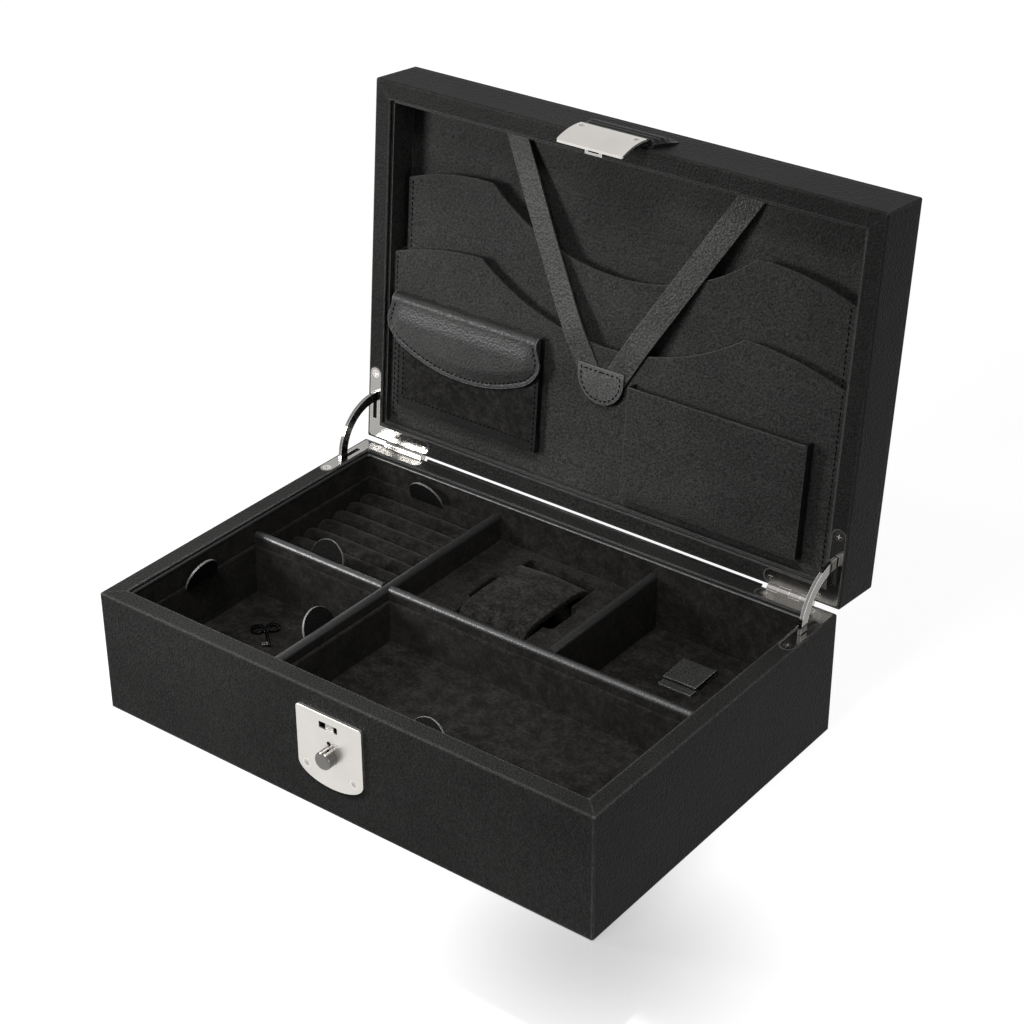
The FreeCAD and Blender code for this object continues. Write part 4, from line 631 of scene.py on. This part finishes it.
pocketSetup = {"wall": 0.0016, "columns": 90, "rows": 50, "crown": 0.0004, "crownRun": 0.006,
               "drift": 0.00022, "band": (0, 0, 0), "gussetSteps": 5, "gussetFold": 0.0005, "edge": 0.0006,
               "slot": "lid_leather"}
patchPocket("boxPocket", "box_pocket", (lidLeather, lidLeather, smoothLeather), pocketSetup)

# The pouch's flap: folded over the mouth, puffed between its stitched borders
flapSetup = {"thick": 0.0012, "columns": 150, "rows": 96, "edge": 0.00035, "fold": 0.0034, "sideShare": 0.59,
             "arcPower": 2.1, "corner": 0.012, "cornerDrop": 0.8, "tuck": 0.06, "tuckRun": 0.014,
             "border": 0.0026, "puff": 0.0017, "puffBorders": 4, "puffRun": 0.012, "tipShare": 0.9,
             "groove": 0.0003, "grooveWide": 0.0014, "seamTop": 0.005, "seamOut": 0.0001, "sideSteps": 6,
             "arcSteps": 60}
flapLow, flapHigh = closedBox("pouch_flap")
flapMiddle = (flapLow.x + flapHigh.x) / 2
flapTip = flapHigh.y
pouchMouth = closedBox("pouch_body")[0].y
flapSide = pouchMouth + (flapTip - pouchMouth) * flapSetup["sideShare"]


def flapEdge(x, inset=0.0):
    # the flap's lower edge: one arc, rounded into the sides
    half = (flapHigh.x - flapLow.x) / 2 - inset
    share = min(abs(x - flapMiddle) / half, 1)
    drop = flapTip - flapSide
    arc = flapTip - inset - drop * share ** flapSetup["arcPower"]
    corner = flapSetup["corner"] - inset
    edge = half * (1 - share)
    if edge < corner:
        arc -= corner * flapSetup["cornerDrop"] * (1 - math.sqrt(max(0, 1 - ((corner - edge) / corner) ** 2)))
    return arc


def flapNarrow(x, past):
    # the flap is a little narrower at its fold
    tuck = flapSetup["tuck"] * (1 - smoothStep(0, flapSetup["tuckRun"], past))
    return flapMiddle + (x - flapMiddle) * (1 - tuck)


def flapPlace(across, along):
    # out from the lid, round the fold and down over the pouch
    thick, border = flapSetup["thick"], flapSetup["border"]
    x = flapLow.x + (flapHigh.x - flapLow.x) * across
    fold = flapSetup["fold"]
    back, faceZ = flapHigh.z - thick / 2, flapLow.z + thick / 2
    top = flapLow.y + thick / 2
    rise = back - faceZ - fold
    bend = fold * math.pi / 2
    run = along * (rise + bend + flapEdge(x) - top - fold)
    if run < rise:
        return flapNarrow(x, 0), top, back - run
    if run < rise + bend:
        turn = (run - rise) / fold
        return flapNarrow(x, 0), top + fold * (1 - math.cos(turn)), faceZ + fold * (1 - math.sin(turn))
    y = top + fold + run - rise - bend
    inset = min(x - flapLow.x, flapHigh.x - x, (flapEdge(x) - y) * flapSetup["tipShare"])
    puff = flapSetup["puff"] * smoothStep(border, border * flapSetup["puffBorders"], inset)
    puff *= smoothStep(0, flapSetup["puffRun"], run - rise - bend)
    groove = flapSetup["groove"] * (1 - min(abs(inset - border) / flapSetup["grooveWide"], 1))
    return flapNarrow(x, y - top - fold), y, faceZ - puff + groove


shape = gridShape(flapSetup["columns"], flapSetup["rows"], flapPlace)
flapArea = cutArea(shape)
pouchFlap = makePiece("pouchFlap", shape, flapLeather, "flap", ["pouch_flap"], shut=True,
                      wall=flapSetup["thick"], edge=flapSetup["edge"])
border = flapSetup["border"]
seamTop, seamFoot = flapLow.y + flapSetup["seamTop"], flapEdge(flapLow.x + border, border)
sideSteps, arcSteps = flapSetup["sideSteps"], flapSetup["arcSteps"]
downs = [seamTop + (seamFoot - seamTop) * step / sideSteps for step in range(sideSteps)]
seam = [(flapLow.x + border, y) for y in downs]
for step in range(arcSteps + 1):
    x = flapLow.x + border + (flapHigh.x - flapLow.x - 2 * border) * step / arcSteps
    seam.append((x, flapEdge(x, border)))
seam += [(flapHigh.x - border, y) for y in reversed(downs)]
foldEnd = flapLow.y + flapSetup["thick"] / 2 + flapSetup["fold"]
seam = [Vector((flapNarrow(x, y - foldEnd), y, flapLow.z + flapSetup["seamOut"])) for x, y in seam]
lidStitches("flapStitches", [seam], "flap")
print("lid pieces made")

# Finger tabs on the trays: leather with a lighter colour on their narrow faces
fingerTabSetup = {"edge": 0.0004, "faceShare": 0.5}
for name, node, body in (("ringTabs", "ring_tray_tabs", "ring_tray_unit"),
                         ("smallTabs", "small_tray_tabs", "small_tray_unit"),
                         ("largeTab", "large_tray_tab", "large_tray_unit")):
    shape = mergedCopy(node)
    wide = max(face.calc_area() for face in shape.faces)
    for face in shape.faces:
        face.material_index = 0 if face.calc_area() > wide * fingerTabSetup["faceShare"] else 1
    makePiece(name, shape, (tabLeather, lightTabEdge), body, [node],
              edge=fingerTabSetup["edge"])

# Ring rolls: stuffed suede tubes with rounded ends
rollSetup = {"around": 28, "rows": 30, "endPower": 6, "crease": 0.00012, "creaseAlong": 90,
             "creaseAround": 300, "creaseSeed": 9.1, "fill": 0.85}


def looseParts(shape):
    # the points of each loose part of a mesh
    parts, seen = [], set()
    for vert in shape.verts:
        part, queue = [], [vert]
        while queue:
            spot = queue.pop()
            if spot not in seen:
                seen.add(spot)
                part.append(spot.co.copy())
                queue.extend(edge.other_vert(spot) for edge in spot.link_edges)
        if part:
            parts.append(part)
    return parts


rollBodies = mergedCopy("ring_rolls")
rollSpots = sorted(looseParts(rollBodies), key=lambda spots: spots[0].y)
rollBodies.free()
for number, spots in enumerate(rollSpots):
    low, high = boxAround(spots)
    radius = (high.z - low.z) / 2
    middle = (low + high) / 2
    shape = bmesh.new()
    bmesh.ops.create_uvsphere(shape, u_segments=rollSetup["around"], v_segments=rollSetup["rows"],
                              radius=radius)
    bmesh.ops.rotate(shape, verts=shape.verts, matrix=Matrix.Rotation(math.pi / 2, 3, "Y"))
    power = rollSetup["endPower"]
    for vert in shape.verts:
        share = vert.co.x / radius
        ring = math.hypot(vert.co.y, vert.co.z)
        full = radius * (1 - abs(share) ** power) ** (1 / power) if abs(share) < 1 else 0
        if ring > 0:
            vert.co.y *= full / ring
            vert.co.z *= full / ring
        vert.co.x = share * (high.x - low.x) / 2
        around = rollSetup["creaseAround"]
        wrinkle = noise.noise(Vector((vert.co.x * rollSetup["creaseAlong"], vert.co.y * around,
                                      number * rollSetup["creaseSeed"] + vert.co.z * around)))
        vert.co += Vector((0, vert.co.y, vert.co.z)) * wrinkle * rollSetup["crease"] / radius
    bmesh.ops.translate(shape, verts=shape.verts, vec=middle)
    roll = makePiece(f"ringRoll{number + 1}", shape, boxSuede, "ring_tray_unit",
                     ["ring_rolls"] if number == 0 else [])
print("rolls made")

# The watch cuff: a padded suede arch that sits in the well
cuffSetup = {"rounds": 96, "across": 28, "thick": 0.004, "square": 5.0, "longer": 0.0028, "sunk": 0.0012,
             "crown": 0.0016, "innerCrown": 0.4, "drift": 0.0005, "driftScale": 45, "driftSeed": 4,
             "edge": 0.0009, "fill": 0.5}
cuffLow, cuffHigh = restBox("watch_cuff")
cuffHigh.y += cuffSetup["longer"]


def cuffPlace(around, across, side):
    # side is 1 outside and 0 inside; a flattened arch, crowned between its long edges
    scale = cuffSetup["driftScale"]
    half = (cuffHigh.y - cuffLow.y) / 2 - (0 if side else cuffSetup["thick"])
    angle = math.pi * around
    power = 2 / cuffSetup["square"]
    reach, lift = math.cos(angle), math.sin(angle)
    y = (cuffLow.y + cuffHigh.y) / 2 - math.copysign(abs(reach) ** power, reach) * half
    x = cuffLow.x + (cuffHigh.x - cuffLow.x) * across
    rim = min(across, 1 - across) * 2
    top = cuffHigh.z - cuffSetup["sunk"] - cuffLow.z - (0 if side else cuffSetup["thick"])
    crown = cuffSetup["crown"] * smoothStep(0, 1, rim) * lift * (1 if side else cuffSetup["innerCrown"])
    drift = noise.noise(Vector((x * scale, y * scale, cuffSetup["driftSeed"]))) * cuffSetup["drift"] * lift
    return x, y, cuffLow.z + max(lift, 0) ** power * top + crown + drift


cuffGrid = (cuffSetup["rounds"], cuffSetup["across"])
shape = gridShape(*cuffGrid, lambda around, across: cuffPlace(around, across, 1))
inner = gridShape(*cuffGrid, lambda around, across: cuffPlace(around, across, 0))
innerData = bpy.data.meshes.new("cuffInner")
inner.to_mesh(innerData)
inner.free()
shape.from_mesh(innerData)
bpy.data.meshes.remove(innerData)
bmesh.ops.bridge_loops(shape, edges=[edge for edge in shape.edges if edge.is_boundary])
watchCuff = makePiece("watchCuff", shape, cuffSuede, "cuff", ["watch_cuff"], edge=cuffSetup["edge"])

# The pull loop: one strip folded back over itself
loopSetup = {"thick": 0.0012, "columns": 8, "rows": 60, "edge": 0.0003, "shorter": 0.005, "sink": 0.0006,
             "sinkFrom": 0.2, "sinkMean": 0.7, "sinkWave": 0.3, "waveTurn": 5}
loopLow, loopHigh = restBox("pull_loop")


def loopPlace(across, along):
    # back along the floor, round the bend and forward above it
    thick = loopSetup["thick"]
    bend = (loopHigh.z - loopLow.z - thick) / 2
    x = loopLow.x + (loopHigh.x - loopLow.x) * across
    back = loopHigh.y - thick / 2 - bend
    lower = back - loopLow.y
    upper = lower - loopSetup["shorter"]
    run = along * (lower + math.pi * bend + upper)
    lowZ = loopLow.z + thick / 2
    if run < lower:
        return x, loopLow.y + run, lowZ
    if run < lower + math.pi * bend:
        turn = (run - lower) / bend
        return x, back + bend * math.sin(turn), lowZ + bend * (1 - math.cos(turn))
    run -= lower + math.pi * bend
    wave = loopSetup["sinkMean"] + loopSetup["sinkWave"] * math.cos(across * loopSetup["waveTurn"])
    sink = loopSetup["sink"] * smoothStep(loopSetup["sinkFrom"], 1, run / upper) * wave
    return x, back - run, lowZ + 2 * bend - sink


shape = gridShape(loopSetup["columns"], loopSetup["rows"], loopPlace)
loopWide = loopHigh.x - loopLow.x
loopLong = cutArea(shape) / loopWide
pullLoop = makePiece("pullLoop", shape, loopLeather, "panel_unit", ["pull_loop"],
                     wall=loopSetup["thick"], edge=loopSetup["edge"])
print("pullLoop flat", loopWide, loopLong)

# The leather strap that carries the hasp, ridged where it bends
ridgeSetup = {"columns": 60, "rows": 44, "ridges": 5, "ridgeHigh": 0.00035, "taper": 0.0035,
              "taperFrom": 0.35, "swell": (-0.15, 0.62), "topShare": 0.22, "sideRun": 0.06,
              "sideShare": 0.55, "edge": 0.0008, "fill": 0.3}
strapLow, strapHigh = closedBox("hasp_strap")


def hingeStrapPlace(across, along):
    # from the top edge on the lid's face, out and down to the fold
    half = (strapHigh.x - strapLow.x) / 2
    z = strapHigh.z + (strapLow.z - strapHigh.z) * along
    x = (across * 2 - 1) * (half - ridgeSetup["taper"] * smoothStep(ridgeSetup["taperFrom"], 1, along))
    out = smoothStep(*ridgeSetup["swell"], along)
    side = smoothStep(0, ridgeSetup["sideRun"], min(across, 1 - across))
    thick = (strapHigh.y - strapLow.y) * (ridgeSetup["topShare"] + (1 - ridgeSetup["topShare"]) * out)
    thick *= ridgeSetup["sideShare"] + (1 - ridgeSetup["sideShare"]) * side
    ridge = ridgeSetup["ridgeHigh"] * math.sin(along * math.pi * 2 * ridgeSetup["ridges"]) * side
    return x, strapHigh.y - thick + ridgeSetup["ridgeHigh"] + ridge, z


shape = gridShape(ridgeSetup["columns"], ridgeSetup["rows"], hingeStrapPlace)
rim = [edge for edge in shape.edges if edge.is_boundary]
made = bmesh.ops.extrude_edge_only(shape, edges=rim)["geom"]
for part in made:
    if isinstance(part, bmesh.types.BMVert):
        part.co.y = strapHigh.y
bmesh.ops.holes_fill(shape, edges=[edge for edge in shape.edges if edge.is_boundary])
hingeStrap = makePiece("hingeStrap", shape, smoothLeather, "lid", ["hasp_strap"], shut=True,
                       edge=ridgeSetup["edge"])

# The cover's turned edge along the back of the base, which narrows the gap under the open lid
beadSetup = {"segments": 24, "high": 0.0007, "deep": 0.00085, "out": 0.0006, "drop": 0.0001, "endGap": 0.0006}
coverLow, coverHigh = restBox("base_cover")
leafLeft = restBox("base_hinge_leaf_left")[1].x
leafRight = restBox("base_hinge_leaf_right")[0].x
bead = bmesh.new()
bmesh.ops.create_circle(bead, cap_ends=True, segments=beadSetup["segments"], radius=1)
for vert in bead.verts:
    vert.co = Vector((leafLeft + beadSetup["endGap"],
                      coverHigh.y + beadSetup["out"] + vert.co.x * beadSetup["deep"],
                      coverHigh.z - beadSetup["drop"] + vert.co.y * beadSetup["high"]))
made = bmesh.ops.extrude_face_region(bead, geom=list(bead.faces))["geom"]
bmesh.ops.translate(bead, verts=[part for part in made if isinstance(part, bmesh.types.BMVert)],
                    vec=(leafRight - leafLeft - 2 * beadSetup["endGap"], 0, 0))
makePiece("rearBead", bead, smoothLeather, "base")

# A rolled leather edge along the top of the base's lining
pipingSetup = {"radius": 0.0011, "inset": 0.0006, "drop": 0.0004, "corner": 0.003, "steps": 6, "around": 12}
liningLow, liningHigh = restBox("base_lining")
inset = pipingSetup["inset"] + pipingSetup["corner"]
right, back = liningHigh.x - inset, liningHigh.y - inset
left, front = liningLow.x + inset, liningLow.y + inset
level = liningHigh.z - pipingSetup["drop"]
turns = []
for quarter, (x, y) in enumerate(((right, back), (left, back), (left, front), (right, front))):
    for step in range(pipingSetup["steps"] + 1):
        angle = math.pi / 2 * (quarter + step / pipingSetup["steps"])
        turns.append((Vector((x, y, level)), Vector((math.cos(angle), math.sin(angle), 0))))
piping = bmesh.new()
rings = []
for center, out in turns:
    ring = []
    for step in range(pipingSetup["around"]):
        angle = 2 * math.pi * step / pipingSetup["around"]
        side = out * (pipingSetup["corner"] + pipingSetup["radius"] * math.cos(angle))
        ring.append(piping.verts.new(center + side + Vector((0, 0, pipingSetup["radius"] * math.sin(angle)))))
    rings.append(ring)
for ring, after in zip(rings, rings[1:] + rings[:1]):
    for step in range(len(ring)):
        beside = (step + 1) % len(ring)
        piping.faces.new((ring[step], ring[beside], after[beside], after[step]))
makePiece("liningPiping", piping, capLeather, "base")
print("base pieces made")

# Camera, lamps, backdrop and floor
cameraSetup = {"place": (0.6638, -0.8223, 0.7416), "turn": (59.99, 0, 37.54), "roll": -0.27, "lens": 81.7,
               "sensor": 36, "nearest": 0.05}
cameraData = bpy.data.cameras.new("camera")
cameraData.lens = cameraSetup["lens"]
cameraData.sensor_width = cameraSetup["sensor"]
cameraData.clip_start = cameraSetup["nearest"]
camera = bpy.data.objects.new("camera", cameraData)
camera.location = cameraSetup["place"]
aim = Euler([math.radians(angle) for angle in cameraSetup["turn"]]).to_matrix()
camera.rotation_euler = (aim @ Matrix.Rotation(math.radians(cameraSetup["roll"]), 3, "Z")).to_euler()
bpy.context.scene.collection.objects.link(camera)
bpy.context.scene.camera = camera

# A lamp that is not mirrored lights the leather and stays out of the shine
lampSetup = {
    "keyLamp": {"place": (-0.42, -0.32, 0.32), "aim": (0, 0.03, 0.12), "size": 0.16, "spread": 180,
                "power": 4.3, "mirrored": True},
    "fillLamp": {"place": (1.7, -0.5, 0.35), "aim": (0, 0.02, 0.1), "size": 0.9, "spread": 180,
                 "power": 5.5, "mirrored": True},
    "topLamp": {"place": (0.05, -0.42, 0.95), "aim": (0.03, -0.06, 0.07), "size": 0.3, "spread": 42,
                "power": 1.05, "mirrored": True},
    "backLamp": {"place": (-0.9, 1.4, 0.5), "aim": (0, 0.1, 0.15), "size": 1.0, "spread": 180,
                 "power": 13, "mirrored": False},
}
for name, lamp in lampSetup.items():
    data = bpy.data.lights.new(name, "AREA")
    data.size = lamp["size"]
    data.energy = lamp["power"]
    data.spread = math.radians(lamp["spread"])
    light = bpy.data.objects.new(name, data)
    light.location = lamp["place"]
    light.rotation_euler = (Vector(lamp["aim"]) - light.location).to_track_quat("-Z", "Y").to_euler()
    light.visible_camera = False
    light.visible_glossy = lamp["mirrored"]
    bpy.context.scene.collection.objects.link(light)


def higher(tree, first, second):
    return addNode(tree, "Math", {0: first, 1: second}, operation="MAXIMUM").outputs["Value"]


# White for the camera and in reflections, dim as a light
worldSetup = {"dim": 0.09, "full": 1.0}
world = bpy.data.worlds.new("studio")
bpy.context.scene.world = world
world.use_nodes = True
tree = world.node_tree
rays = addNode(tree, "LightPath", {}).outputs
seen = higher(tree, higher(tree, rays["Is Camera Ray"], rays["Is Transmission Ray"]), rays["Is Glossy Ray"])
feed(tree, tree.nodes["Background"], {"Color": (1, 1, 1, 1),
                                      "Strength": between(tree, seen, worldSetup["dim"], worldSetup["full"])})

# A pale floor that glows only for the camera and in reflections, and is faintly glossy near the box's
# right front corner
floorSetup = {"half": 6, "color": 0.13, "rough": 0.9, "glow": 0.94, "gloss": 0.45, "glossReach": 0.12,
              "glossRough": 0.07}
floorMesh = bmesh.new()
bmesh.ops.create_grid(floorMesh, x_segments=2, y_segments=2, size=floorSetup["half"])
floorData = bpy.data.meshes.new("floor")
floorMesh.to_mesh(floorData)
floorMesh.free()
floor = bpy.data.objects.new("floor", floorData)
bpy.context.scene.collection.objects.link(floor)
floorPaint, tree, shader = newMaterial("floorPaint")
feed(tree, shader, {"Base Color": (*grey(floorSetup["color"]), 1), "Roughness": floorSetup["rough"],
                    "Specular IOR Level": 0.0})
rays = addNode(tree, "LightPath", {}).outputs
seen = higher(tree, rays["Is Camera Ray"], rays["Is Glossy Ray"])
glowLevel = addNode(tree, "Math", {0: seen, 1: floorSetup["glow"]}, operation="MULTIPLY").outputs["Value"]
glow = addNode(tree, "Emission", {"Strength": glowLevel}).outputs["Emission"]
pale = addNode(tree, "AddShader", {0: shader.outputs["BSDF"], 1: glow}).outputs["Shader"]
corner = (coverHigh.x, coverLow.y, floor.location.z)
apart = addNode(tree, "VectorMath", {0: objectPlace(tree), 1: corner}, operation="DISTANCE").outputs["Value"]
fade = addNode(tree, "MapRange", {"Value": apart, "From Max": floorSetup["glossReach"],
                                  "To Min": floorSetup["gloss"], "To Max": 0.0},
               interpolation_type="SMOOTHSTEP").outputs["Result"]
gloss = addNode(tree, "BsdfGlossy", {"Roughness": floorSetup["glossRough"]}).outputs["BSDF"]
mixed = addNode(tree, "MixShader", {"Fac": fade, 1: pale, 2: gloss}).outputs["Shader"]
feed(tree, tree.nodes["Material Output"], {"Surface": mixed})
floorData.materials.append(floorPaint)
bpy.context.scene.view_settings.view_transform = "Standard"
print("camera and lights set")
